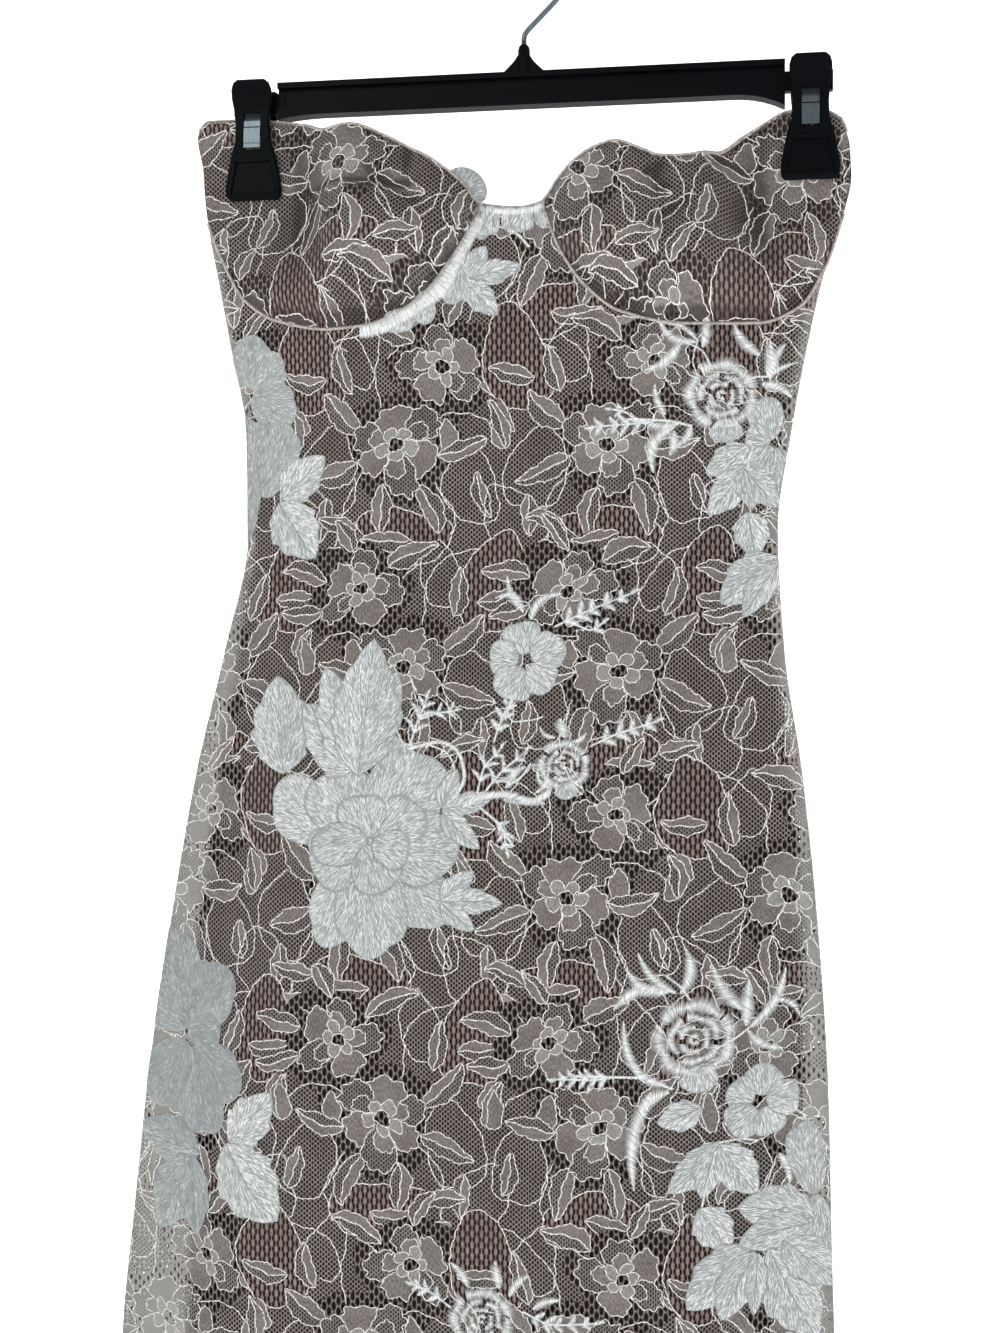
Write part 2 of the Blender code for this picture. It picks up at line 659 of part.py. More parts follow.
def build_cups():
    """Two bust cups between the top edge and the underwires, folded as they hang."""
    spans = {"left": (None, WIRE_LEFT_TABLE["x"][-1] - SEAM_GAP),
             "right": (WIRE_RIGHT_TABLE["x"][0] + SEAM_GAP, None)}
    lip = np.array([EDGE_RADIUS * (1 - cos(radians(a))) for a in CAP_STEPS])
    rows = np.linspace(0, 1, CUP_ROWS)
    for side, (start, end) in spans.items():
        even = np.linspace(0, 1, CUP_STATIONS)
        z = np.full((CUP_ROWS, len(CAP_STEPS) + CUP_STATIONS - 1), FIRST_CUP_TOP)
        for _ in range(SETTLE_PASSES):
            if side == "left":
                first = outline("left", z[:, :len(lip)]) + lip
                body = first[:, -1:] + (end - first[:, -1:]) * even[1:]
                x = np.concatenate([first, body], axis=1)
            else:
                last = outline("right", z[:, -len(lip):]) - lip[::-1]
                body = start + (last[:, :1] - start) * even[:-1]
                x = np.concatenate([body, last], axis=1)
            upper, lower = neck(x), wire(x)
            lower = lower + np.minimum(CUP_SEAM_GAP * np.sqrt(1 + wire_slope(x) ** 2), CUP_SEAM_MOST)
            z = upper + (lower - upper) * rows[:, None]
        depth = tube_depth(x, z, "front") + cup_bulge(x, z, side)
        grid = np.stack([x, -np.maximum(depth, SEAM_GAP / 2), z], axis=-1)
        ends = ((0, 1.0),) if side == "left" else ((-1, -1.0),)
        cloth_wall("cup_" + side, grid, CUP_WALL, "lace", 1, ends)


def build_underwire_band():
    """Embroidered band laid on the front panel just below the picture-left underwire."""
    x = np.linspace(BAND_START, BAND_END, BAND_STATIONS)
    slope = wire_slope(x)
    length = np.sqrt(1 + slope ** 2)
    side_x, side_z = slope / length, -1 / length
    share = np.linspace(0, 1, BAND_STATIONS)
    taper = np.sqrt(np.sin(pi * (BAND_TAPER + (1 - 2 * BAND_TAPER) * share)))
    scallop = 1 + BAND_SCALLOP_DEPTH * np.abs(np.sin(BAND_SCALLOPS * pi * share))
    rows = []
    for across in (0.0, 0.5, 1.0):
        off = BAND_INSET + BAND_WIDTH * across * taper * scallop
        rows.append((x + side_x * off, wire(x) + side_z * off))
    grid = np.stack([front_point(px, pz, LAID_GAP + APPLIQUE_WALL * lift)
                     for (px, pz), lift in zip(rows, (0.5, 1.0, 0.5))])
    inner = np.stack([front_point(px, pz, LAID_GAP) for px, pz in rows])
    points = np.concatenate([grid.reshape(-1, 3), inner.reshape(-1, 3)])
    add_object("band_underwire_left", points, shell_faces(3, len(x)), "applique")


def flower_rings(length, width, lobes):
    """Rings of a flower: rounded petals round its edge, in its own flat plane."""
    angle = np.linspace(0, 2 * pi, FLOWER_SPOKES, endpoint=False)
    petal = FLOWER_VALLEY + (1 - FLOWER_VALLEY) * np.abs(np.cos(lobes * angle / 2)) ** FLOWER_ROUND
    edge = np.stack([length * petal * np.cos(angle), width * petal * np.sin(angle)], axis=-1)
    return [edge, FLOWER_INNER * edge]


def leaf_rings(length, width, lobes):
    """Rings of a leaf or petal: pointed tip, round base, with shallow teeth for lobes."""
    share = np.linspace(0, 1, LEAF_STATIONS)
    bulge = np.sin(pi * share ** LEAF_SKEW) ** LEAF_FULL
    teeth = 1 + (LEAF_TEETH * np.cos(2 * pi * (lobes + 1) * share) if lobes else 0.0)
    half = width / 2 * bulge * teeth
    along = length * (share - 0.5)
    upper = np.stack([along, half], axis=-1)
    lower = np.stack([along[-2:0:-1], -half[-2:0:-1]], axis=-1)
    edge = np.concatenate([upper, lower])
    middle = edge.mean(axis=0)
    return [edge, middle + LEAF_INNER * (edge - middle)]


def build_appliques():
    """Raised embroidered pieces, made from the lace's points moved out."""
    for name, kind, cx, cz, turn, length, width, lobes in APPLIQUES:
        maker = flower_rings if kind == "flower" else leaf_rings
        rings = maker(length, width, lobes)
        c, s = cos(radians(turn)), sin(radians(turn))
        spin = np.array([[c, s], [-s, c]])
        middle = rings[0].mean(axis=0)
        flat = [ring @ spin for ring in rings] + [np.array([middle @ spin])]
        upper = [front_point(cx + ring[:, 0], cz + ring[:, 1], LAID_GAP + APPLIQUE_WALL * lift)
                 for ring, lift in zip(flat, RING_LIFTS[kind])]
        lower = [front_point(cx + ring[:, 0], cz + ring[:, 1], LAID_GAP) for ring in flat]
        count = len(rings[0])
        points = np.concatenate(upper + lower)
        half = 2 * count + 1
        faces = []
        for i in range(count):
            j = (i + 1) % count
            faces.append((i, j, count + j, count + i))
            faces.append((count + i, count + j, 2 * count))
            faces.append((half + j, half + i, half + count + i, half + count + j))
            faces.append((half + count + j, half + count + i, half + 2 * count))
            faces.append((j, i, half + i, half + j))
        add_object("applique_" + name, points, faces, "applique")


def loft(name, sections, finish_name, sharp_angle=40.0):
    """Join rings of equal length in order and close both ends with a face."""
    count = len(sections[0])
    points = [p for section in sections for p in section]
    faces = []
    for k in range(len(sections) - 1):
        for i in range(count):
            j = (i + 1) % count
            faces.append((k * count + i, k * count + j, (k + 1) * count + j, (k + 1) * count + i))
    faces.append(tuple(range(count))[::-1])
    faces.append(tuple((len(sections) - 1) * count + i for i in range(count)))
    return add_object(name, points, faces, finish_name, sharp_angle)


def apply_boolean(target, tool, operation):
    """Cut or join a tool into a target, and drop the tool."""
    modifier = target.modifiers.new(operation.title(), "BOOLEAN")
    modifier.operation = operation
    modifier.solver = "EXACT"
    modifier.object = tool
    bpy.context.view_layer.update()
    result = bpy.data.meshes.new_from_object(
        target.evaluated_get(bpy.context.evaluated_depsgraph_get()))
    target.modifiers.clear()
    target.data = result
    bpy.data.objects.remove(tool)


def box_object(name, low, high, finish_name):
    """A plain box between two corners."""
    ring = [(low[0], low[1]), (high[0], low[1]), (high[0], high[1]), (low[0], high[1])]
    return loft(name, [[(x, y, z) for x, y in ring] for z in (low[2], high[2])], finish_name)


def bar_section(x, drop):
    """The bar's section at X: a top lip, a thin web and a deeper lower lip."""
    top, bottom = BAR_TOP, BAR_BOTTOM - drop
    web_top, web_bottom = top - TOP_LIP, bottom + LOW_LIP
    return [(x, LIP_HALF, top), (x, LIP_HALF, web_top), (x, WEB_HALF, web_top),
            (x, WEB_HALF, web_bottom), (x, LIP_HALF, web_bottom), (x, LIP_HALF, bottom),
            (x, -LIP_HALF, bottom), (x, -LIP_HALF, web_bottom), (x, -WEB_HALF, web_bottom),
            (x, -WEB_HALF, web_top), (x, -LIP_HALF, web_top), (x, -LIP_HALF, top)]


def build_bar():
    """The hanger's bar with its end rods, gusset and the boss that holds the hook."""
    shares = np.linspace(0, 1, FLARE_STATIONS)
    left, right = ([(sign * (BAR_END - FLARE_LENGTH * s), FLARE_DROP[side] * (1 - s) ** FLARE_CURVE)
                    for s in shares] for side, sign in (("left", -1), ("right", 1)))
    stations = left + right[::-1]
    bar = loft("hanger_bar", [bar_section(x, drop) for x, drop in stations], "hanger")
    for sign in (-1, 1):
        low_x, high_x = sorted((sign * (BAR_END - ROD_OVERLAP), sign * ROD_END))
        rod = box_object("rod", (low_x, -ROD_HALF, ROD_BOTTOM), (high_x, ROD_HALF, ROD_TOP),
                         "hanger")
        apply_boolean(bar, rod, "UNION")
    side = ((GUSSET_HALF, BAR_TOP - GUSSET_OVERLAP), (GUSSET_HALF, BAR_TOP)) + GUSSET_SIDE
    shape = side + tuple((-x, z) for x, z in side[::-1])
    gusset = loft("gusset", [[(BOSS_X + x, y, z) for x, z in shape]
                             for y in (-GUSSET_THICK / 2, GUSSET_THICK / 2)], "hanger")
    apply_boolean(bar, gusset, "UNION")
    angles = [2 * pi * i / BOSS_SIDES for i in range(BOSS_SIDES)]
    boss = loft("boss", [[(BOSS_X + BOSS_RADIUS * r * cos(a), BOSS_RADIUS * r * sin(a), z)
                          for a in angles] for z, r in BOSS_PROFILE], "hanger")
    apply_boolean(bar, boss, "UNION")
    bar.data.shade_smooth()
    bar.data.set_sharp_from_angle(angle=radians(35.0))


def hook_route():
    """Centre line of the hook: up from the boss, slanting out, then round and over the rail."""
    centre_z = -(HOOK_RADIUS - HOOK_WIRE)
    first = radians(HOOK_START_ANGLE)
    join_x, join_z = HOOK_RADIUS * cos(first), centre_z + HOOK_RADIUS * sin(first)
    bend_z = join_z - (join_x - BOSS_X)
    route = [(BOSS_X, BOSS_TOP + SEAM_GAP), (BOSS_X, bend_z - HOOK_BEND)]
    for k in range(1, BEND_STEPS + 1):
        t = k / BEND_STEPS
        route.append((BOSS_X + HOOK_BEND * t * t, bend_z + HOOK_BEND * (2 * t - 1)))
    route.append(((BOSS_X + join_x) / 2, (bend_z + join_z) / 2))
    for k in range(HOOK_STEPS + 1):
        a = radians(HOOK_START_ANGLE + (HOOK_TIP_ANGLE - HOOK_START_ANGLE) * k / HOOK_STEPS)
        route.append((HOOK_RADIUS * cos(a), centre_z + HOOK_RADIUS * sin(a)))
    return route


def build_hook():
    """The wire hook as a round tube along its route."""
    route = hook_route()
    angles = [2 * pi * i / HOOK_SIDES for i in range(HOOK_SIDES)]
    sections = []
    for i, (x, z) in enumerate(route):
        x0, z0 = route[max(i - 1, 0)]
        x1, z1 = route[min(i + 1, len(route) - 1)]
        heading = pi / 2 if i == 0 else atan2(z1 - z0, x1 - x0)
        across_x, across_z = -sin(heading), cos(heading)
        sections.append([(x + HOOK_WIRE * cos(a) * across_x, HOOK_WIRE * sin(a),
                          z + HOOK_WIRE * cos(a) * across_z) for a in angles])
    loft("hanger_hook", sections, "steel", 60.0)


def build_jaw(name, centre_x, sign):
    """One clip jaw: a waisted plate with a thumb grip, a window and a recessed pad."""
    sections = []
    for z, half, inner, thick in JAW:
        outer = inner + thick
        bevel = min(JAW_BEVEL, thick / 3)
        ring = [(-half, inner), (half, inner), (half, outer - bevel), (half - bevel, outer),
                (-half + bevel, outer), (-half, outer - bevel)]
        sections.append([(centre_x + x, sign * y, z) for x, y in ring])
    jaw = loft(name, sections, "hanger", 30.0)
    gap = SPRING_HALF + SEAM_GAP
    reach = sorted(sign * y for y in WINDOW_REACH)
    window = box_object("window", (centre_x - gap, reach[0], WINDOW_BOTTOM),
                        (centre_x + gap, reach[1], WINDOW_TOP), "hanger")
    apply_boolean(jaw, window, "DIFFERENCE")
    face = JAW[PAD_ROW][2] + JAW[PAD_ROW][3]
    depths = (sign * (face - PAD_RECESS), sign * (face + PAD_REACH))
    pad_shape = ((-PAD_HALF_BOTTOM, PAD_BOTTOM), (PAD_HALF_BOTTOM, PAD_BOTTOM),
                 (PAD_HALF_TOP, PAD_TOP), (-PAD_HALF_TOP, PAD_TOP))
    pad = loft("pad", [[(centre_x + x, y, z) for x, z in pad_shape] for y in depths], "hanger")
    apply_boolean(jaw, pad, "DIFFERENCE")
    jaw.data.shade_smooth()
    jaw.data.set_sharp_from_angle(angle=radians(30.0))


def build_spring(name, centre_x):
    """The clip's spring: a strip bent over the rod, its legs in the windows of both jaws."""
    half = [(-y, z) for y, z in SPRING]
    route = half + [(-y, z) for y, z in half[-2::-1]]
    outer, inner = [], []
    for i, (y, z) in enumerate(route):
        y0, z0 = route[max(i - 1, 0)]
        y1, z1 = route[min(i + 1, len(route) - 1)]
        length = hypot(y1 - y0, z1 - z0)
        ny, nz = -(z1 - z0) / length, (y1 - y0) / length
        outer.append((y + ny * SPRING_THICK / 2, z + nz * SPRING_THICK / 2))
        inner.append((y - ny * SPRING_THICK / 2, z - nz * SPRING_THICK / 2))
    sections = []
    for (yo, zo), (yi, zi) in zip(outer, inner):
        sections.append([(centre_x - SPRING_HALF, yo, zo), (centre_x + SPRING_HALF, yo, zo),
                         (centre_x + SPRING_HALF, yi, zi), (centre_x - SPRING_HALF, yi, zi)])
    loft(name, sections, "steel", 40.0)


def build_clips():
    """Two clips, each a front jaw, a back jaw and a spring."""
    for side, x in (("left", -CLIP_X), ("right", CLIP_X)):
        build_jaw("clip_" + side + "_front", x, -1)
        build_jaw("clip_" + side + "_back", x, 1)
        build_spring("clip_" + side + "_spring", x)


def main():
    """Clear the scene and build every piece."""
    for existing in list(bpy.data.objects):
        bpy.data.objects.remove(existing, do_unlink=True)
    build_front_panel()
    build_back_panels()
    build_linings()
    build_cups()
    build_underwire_band()
    build_appliques()
    build_bar()
    build_hook()
    build_clips()


main()
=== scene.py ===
"""Strapless corded-lace dress on a black clip hanger: its cloth, lace, embroidery and studio.

Lengths are metres in the row frame: +Z up, +X picture right, the front faces -Y, and the origin
is the inside top of the wire hook. The lace's flat pattern is drawn in millimetres.
"""
import logging
from dataclasses import dataclass, field, replace
from enum import Enum
from math import atan2, cos, hypot, pi, radians, sin
from typing import Callable

import bpy
import numpy as np
from mathutils.geometry import delaunay_2d_cdt
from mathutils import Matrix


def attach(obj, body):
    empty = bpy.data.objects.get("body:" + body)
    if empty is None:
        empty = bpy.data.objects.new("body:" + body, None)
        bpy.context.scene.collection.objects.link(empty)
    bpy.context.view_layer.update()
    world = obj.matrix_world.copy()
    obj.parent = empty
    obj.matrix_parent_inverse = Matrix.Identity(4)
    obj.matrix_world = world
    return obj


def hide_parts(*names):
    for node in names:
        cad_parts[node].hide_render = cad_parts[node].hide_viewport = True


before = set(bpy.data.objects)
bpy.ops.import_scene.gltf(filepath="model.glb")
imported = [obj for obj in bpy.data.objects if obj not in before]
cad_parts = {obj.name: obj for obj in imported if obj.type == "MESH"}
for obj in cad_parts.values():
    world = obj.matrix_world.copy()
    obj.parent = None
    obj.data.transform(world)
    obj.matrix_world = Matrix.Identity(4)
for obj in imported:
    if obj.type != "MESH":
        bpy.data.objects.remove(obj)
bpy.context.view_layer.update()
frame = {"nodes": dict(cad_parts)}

log = logging.getLogger("dress")
MM = 0.001
Place = Callable[[np.ndarray, np.ndarray, "float | np.ndarray"], np.ndarray]


# Numbers shared with the solids

LACE_WALL = 0.0010
LINING_GAP = 0.0008
CUP_WALL = 0.0022
EDGE_RADIUS = 0.0031
LINING_EDGE_RADIUS = EDGE_RADIUS - LACE_WALL - LINING_GAP
SIDE_ROUND = 0.085
LINING_SIDE_ROUND = 0.035
HEM = -1.160
GORE_RISE = 0.0008
LINING_HEM = -1.138
CLIP_X = 0.166
SEAM_GAP = 0.0003
# Passes in which a row of places settles between sloping edges, and in which the place is found
# where a top edge meets a side
SETTLE_PASSES = 14
MEET_PASSES = 30
# Least distance that keeps a layer on its own side of the side-seam plane
MIDDLE_CLEAR = 0.00015

OUTLINE = {
    "z": (-1.160, -1.000, -0.830, -0.770, -0.677, -0.585, -0.493, -0.420, -0.350, -0.292,
          -0.237, -0.200, -0.164, -0.146, -0.127, -0.108, -0.095),
    "left": (-0.2620, -0.2580, -0.2500, -0.2439, -0.2337, -0.2197, -0.2032, -0.1855, -0.1710,
             -0.1717, -0.1817, -0.1887, -0.1956, -0.1980, -0.1994, -0.2026, -0.2020),
    "right": (0.1850, 0.1830, 0.1802, 0.1785, 0.1765, 0.1708, 0.1616, 0.1512, 0.1475, 0.1555,
              0.1658, 0.1745, 0.1862, 0.1896, 0.1885, 0.1845, 0.1830),
    "front": (0.036, 0.035, 0.034, 0.034, 0.033, 0.031, 0.027, 0.022, 0.018, 0.018, 0.020,
              0.020, 0.019, 0.018, 0.016, 0.014, 0.012),
    "back": (0.033, 0.032, 0.031, 0.031, 0.030, 0.028, 0.024, 0.019, 0.015, 0.014, 0.014,
             0.013, 0.011, 0.010, 0.009, 0.008, 0.007),
    "lining_in_left": (0.0520, 0.0500, 0.0460, 0.0420, 0.0320, 0.0190, 0.0150, 0.0090, 0.0040,
                       0.0040, 0.0040, 0.0040, 0.0040, 0.0040, 0.0040, 0.0040, 0.0040),
    "lining_in_right": (0.0200, 0.0190, 0.0175, 0.0165, 0.0145, 0.0095, 0.0055, 0.0045, 0.0045,
                        0.0045, 0.0045, 0.0045, 0.0045, 0.0045, 0.0045, 0.0045, 0.0045),
}
NECKLINE = (
    (-0.2030, -0.1075), (-0.1950, -0.0992), (-0.1830, -0.0990), (-0.1520, -0.1012),
    (-0.1350, -0.1040), (-0.1180, -0.1108), (-0.1003, -0.1118), (-0.0800, -0.1198),
    (-0.0640, -0.1283), (-0.0470, -0.1391), (-0.0340, -0.1495), (-0.0262, -0.1592),
    (-0.0020, -0.1622), (0.0120, -0.1590), (0.0226, -0.1462), (0.0320, -0.1376),
    (0.0410, -0.1327), (0.0540, -0.1298), (0.0684, -0.1353), (0.0800, -0.1405),
    (0.0940, -0.1416), (0.1122, -0.1372), (0.1285, -0.1227), (0.1428, -0.1130),
    (0.1514, -0.1086), (0.1660, -0.1065), (0.1829, -0.1128), (0.1896, -0.1300),
)
WIRE_LEFT = (
    (-0.1965, -0.1580), (-0.1880, -0.1800), (-0.1720, -0.2085), (-0.1500, -0.2225),
    (-0.1140, -0.2300), (-0.0950, -0.2290), (-0.0780, -0.2236), (-0.0600, -0.2124),
    (-0.0430, -0.1920), (-0.0262, -0.1645),
)
WIRE_RIGHT = (
    (0.0130, -0.1645), (0.0220, -0.1880), (0.0366, -0.2090), (0.0570, -0.2245),
    (0.0920, -0.2323), (0.1370, -0.2310), (0.1600, -0.2215), (0.1740, -0.2000),
    (0.1862, -0.1650),
)
BACK_TOP = (
    (-0.2030, -0.1085), (-0.1900, -0.1010), (-0.1660, -0.1010), (-0.1480, -0.1065),
    (-0.1200, -0.1220), (-0.0900, -0.1370), (-0.0500, -0.1570), (0.0000, -0.1680),
    (0.0500, -0.1610), (0.0900, -0.1490), (0.1200, -0.1420), (0.1400, -0.1220),
    (0.1520, -0.1120), (0.1660, -0.1080), (0.1820, -0.1140), (0.1896, -0.1310),
)


# Working curves and meshes

def smooth_curve(at: np.ndarray, knots: np.ndarray, values: np.ndarray) -> np.ndarray:
    """Cubic through the knots whose slope is limited, so it never overshoots them.

    Each inner tangent is the harmonic mean of the slopes beside it, or 0 at a turning point.

    Args:
        at: where to read the curve.
        knots: rising places of the known values.
        values: the value at each knot.

    Returns:
        The curve's value at each place.
    """
    step = np.diff(knots)
    slope = np.diff(values) / step
    tangent = np.zeros_like(values)
    same_way = slope[:-1] * slope[1:] > 0
    total = np.where(same_way, slope[:-1] + slope[1:], 1.0)
    tangent[1:-1] = np.where(same_way, 2 * slope[:-1] * slope[1:] / total, 0.0)
    tangent[0], tangent[-1] = slope[0], slope[-1]
    at = np.clip(at, knots[0], knots[-1])
    i = np.clip(np.searchsorted(knots, at) - 1, 0, len(knots) - 2)
    t = (at - knots[i]) / step[i]
    rise = t * t * (3 - 2 * t)
    lead = t * (1 - t) ** 2 * step[i] * tangent[i]
    trail = t * t * (1 - t) * step[i] * tangent[i + 1]
    return values[i] + rise * (values[i + 1] - values[i]) + lead - trail


def ease(t: np.ndarray) -> np.ndarray:
    """Smooth step from 0 to 1 with level ends."""
    t = np.clip(t, 0.0, 1.0)
    return t * t * (3 - 2 * t)


def inside(shape: np.ndarray, points: np.ndarray) -> np.ndarray:
    """Which points lie in a closed shape: a ray from each crosses its edges an odd number of times.

    Args:
        shape: corners of the shape, one row each.
        points: points to test, one row each.

    Returns:
        One true or false for each point.
    """
    a, b = shape, np.roll(shape, -1, axis=0)
    x, y = points[:, 0][:, None], points[:, 1][:, None]
    spans = (a[:, 1] > y) != (b[:, 1] > y)
    height = np.where(b[:, 1] == a[:, 1], 1e-12, b[:, 1] - a[:, 1])
    crossing = a[:, 0] + (y - a[:, 1]) * (b[:, 0] - a[:, 0]) / height
    return (np.sum(spans & (x < crossing), axis=1) % 2).astype(bool)


def leftward(shape: np.ndarray) -> np.ndarray:
    """The same closed shape with its corners in left-hand turns, from the sign of its area."""
    after = np.roll(shape, -1, axis=0)
    area = np.sum(shape[:, 0] * after[:, 1] - after[:, 0] * shape[:, 1])
    return shape if area > 0 else shape[::-1]


def spaced(line: np.ndarray, step: float, closed: bool) -> np.ndarray:
    """A line's points again at even steps along its length.

    Args:
        line: points of the line.
        step: wanted distance between points.
        closed: whether the last point joins the first.

    Returns:
        The new points; a closed line doesn't repeat its first point.
    """
    if closed:
        line = np.concatenate([line, line[:1]])
    lengths = np.hypot(*np.diff(line, axis=0).T)
    along = np.concatenate([[0.0], np.cumsum(lengths)])
    count = max(int(round(along[-1] / step)), 3)
    at = np.linspace(0, along[-1], count + 1)
    out = np.stack([np.interp(at, along, line[:, 0]), np.interp(at, along, line[:, 1])], axis=-1)
    return out[:-1] if closed else out


def build(name: str, points: np.ndarray, faces: np.ndarray, materials: list, *,
          uv: np.ndarray | None = None, choice: np.ndarray | None = None,
          shade: np.ndarray | None = None) -> bpy.types.Object:
    """Make one mesh object from arrays, riding on the dress's one body.

    Args:
        name: the piece's name.
        points: vertex places, one row each.
        faces: vertex numbers, one row for each face, all of the same number of corners.
        materials: the materials on the piece.
        uv: a flat place for each vertex.
        choice: the material's number for each face.
        shade: a value for each vertex, kept as the attribute "shade".

    Returns:
        The new object.
    """
    mesh = bpy.data.meshes.new(name)
    mesh.vertices.add(len(points))
    mesh.vertices.foreach_set("co", np.ascontiguousarray(points, dtype=np.float32).ravel())
    corners = np.ascontiguousarray(faces, dtype=np.int32)
    mesh.loops.add(corners.size)
    mesh.loops.foreach_set("vertex_index", corners.ravel())
    mesh.polygons.add(len(corners))
    starts = np.arange(0, corners.size, corners.shape[1], dtype=np.int32)
    mesh.polygons.foreach_set("loop_start", starts)
    if choice is not None:
        mesh.polygons.foreach_set("material_index", np.asarray(choice, dtype=np.int32))
    mesh.polygons.foreach_set("use_smooth", np.ones(len(corners), dtype=bool))
    if uv is not None:
        layer = mesh.uv_layers.new(name="flat")
        layer.data.foreach_set("uv", np.asarray(uv, dtype=np.float32)[corners.ravel()].ravel())
    if shade is not None:
        values = mesh.attributes.new("shade", "FLOAT", "POINT")
        values.data.foreach_set("value", np.asarray(shade, dtype=np.float32))
    mesh.update(calc_edges=True)
    mesh.validate()
    for material in materials:
        mesh.materials.append(material)
    made = bpy.data.objects.new(name, mesh)
    bpy.context.scene.collection.objects.link(made)
    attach(made, "root")
    log.info("%s: %d faces", name, len(mesh.polygons))
    return made


def grid_faces(rows: int, columns: int, first: int = 0, around: bool = False) -> np.ndarray:
    """Quads of a grid of points.

    Args:
        rows: rows of points.
        columns: points in each row.
        first: number of the grid's first point.
        around: whether the last column joins the first.

    Returns:
        Four vertex numbers for each quad.
    """
    c = np.arange(columns if around else columns - 1)
    r = np.arange(rows - 1)[:, None]
    n = (c + 1) % columns
    quads = np.stack([r * columns + c, r * columns + n, (r + 1) * columns + n,
                      (r + 1) * columns + c], axis=-1)
    return first + quads.reshape(-1, 4)


def grid_normals(grid: np.ndarray) -> np.ndarray:
    """Unit normals of a grid of points, from the differences along its rows and columns."""
    normal = np.cross(np.gradient(grid, axis=0), np.gradient(grid, axis=1))
    return normal / np.maximum(np.linalg.norm(normal, axis=-1, keepdims=True), 1e-12)


@dataclass(frozen=True)
class Crease:
    """A soft trough or ridge pressed into the cloth along a line; a ridge has negative depth."""

    x0: float
    z0: float
    x1: float
    z1: float
    depth: float
    width: float

    def press(self, x: np.ndarray, z: np.ndarray) -> np.ndarray:
        """How far it moves the cloth in: a bell across the line, fading out at both its ends."""
        run = hypot(self.x1 - self.x0, self.z1 - self.z0)
        dx, dz = (self.x1 - self.x0) / run, (self.z1 - self.z0) / run
        along = ((x - self.x0) * dx + (z - self.z0) * dz) / run
        off = (x - self.x0) * dz - (z - self.z0) * dx
        return self.depth * ease(3 * along) * ease(3 * (1 - along)) * np.exp(-(off / self.width) ** 2)


@dataclass(frozen=True)
class Fold:
    """A collapsed stretch of a cup: the cloth above the line sits back behind the cloth below."""

    x0: float
    z0: float
    x1: float
    z1: float
    set_back: float
    fade: float
    softness: float

    def press(self, x: np.ndarray, z: np.ndarray) -> np.ndarray:
        """How far it moves the cloth in: all of it above the line, none below, eased between."""
        run = hypot(self.x1 - self.x0, self.z1 - self.z0)
        along = ((x - self.x0) * (self.x1 - self.x0) + (z - self.z0) * (self.z1 - self.z0)) / run ** 2
        off = ((x - self.x0) * (self.z1 - self.z0) - (z - self.z0) * (self.x1 - self.x0)) / run
        ends = ease(along * run / self.fade + 0.5) * ease((1 - along) * run / self.fade + 0.5)
        return self.set_back * ends * ease(0.5 - off / (2 * self.softness))


@dataclass(frozen=True)
class Cup:
    """One bust cup: where it is, how far it stands out, and the folds it has collapsed into."""

    centre: float
    half_width: float
    depth: float
    full_at: float
    top_share: float
    fold: Fold


CUPS = {
    "left": Cup(-0.105, 0.0905, 0.036, 0.44, 0.60,
                Fold(-0.152, -0.1480, -0.062, -0.1535, 0.0085, 0.016, 0.0045)),
    "right": Cup(0.098, 0.0900, 0.037, 0.44, 0.58,
                 Fold(0.110, -0.1440, 0.160, -0.1530, 0.0080, 0.012, 0.0045)),
}
CUP_CREASES = (
    Crease(-0.1000, -0.1310, -0.0490, -0.1700, 0.0040, 0.0070),
    Crease(-0.1280, -0.1660, -0.1070, -0.2120, 0.0045, 0.0080),
    Crease(-0.1720, -0.1560, -0.1600, -0.1950, 0.0030, 0.0080),
    Crease(0.0700, -0.1870, 0.1080, -0.1600, 0.0040, 0.0075),
    Crease(0.0220, -0.1860, 0.0450, -0.2120, 0.0030, 0.0070),
    Crease(0.1340, -0.1640, 0.1500, -0.2050, 0.0040, 0.0080),
    Crease(0.0740, -0.1400, 0.0860, -0.1700, 0.0045, 0.0090),
)
FRONT_CREASES = (
    Crease(-0.150, -0.262, -0.060, -0.250, 0.0012, 0.007),
    Crease(0.040, -0.252, 0.120, -0.262, 0.0010, 0.007),
    Crease(-0.165, -0.350, -0.110, -0.372, 0.0011, 0.008),
    Crease(0.090, -0.350, 0.140, -0.340, 0.0010, 0.008),
    Crease(-0.180, -0.470, -0.150, -0.700, 0.0014, 0.012),
    Crease(0.135, -0.440, 0.150, -0.640, 0.0013, 0.011),
    Crease(-0.020, -0.600, -0.010, -1.050, 0.0012, 0.016),
    Crease(0.080, -0.760, 0.095, -1.120, 0.0015, 0.018),
)
BACK_CREASES = (
    Crease(-0.120, -0.240, -0.030, -0.262, 0.0012, 0.008),
    Crease(0.030, -0.255, 0.110, -0.238, 0.0012, 0.008),
    Crease(-0.140, -0.365, -0.050, -0.350, 0.0010, 0.009),
    Crease(0.045, -0.372, 0.120, -0.356, 0.0011, 0.009),
    Crease(-0.120, -0.520, -0.150, -0.980, 0.0014, 0.016),
    Crease(0.070, -0.560, 0.085, -1.040, 0.0014, 0.016),
)
SKIRT_FOLDS = (
    (-0.120, -0.190, 0.030, 0.0050),
    (-0.060, -0.085, 0.036, -0.0030),
    (0.030, 0.035, 0.030, 0.0035),
    (0.100, 0.125, 0.030, -0.0030),
)


class Face(Enum):
    """The two faces of the flat-hung tube."""

    FRONT = "front"
    BACK = "back"


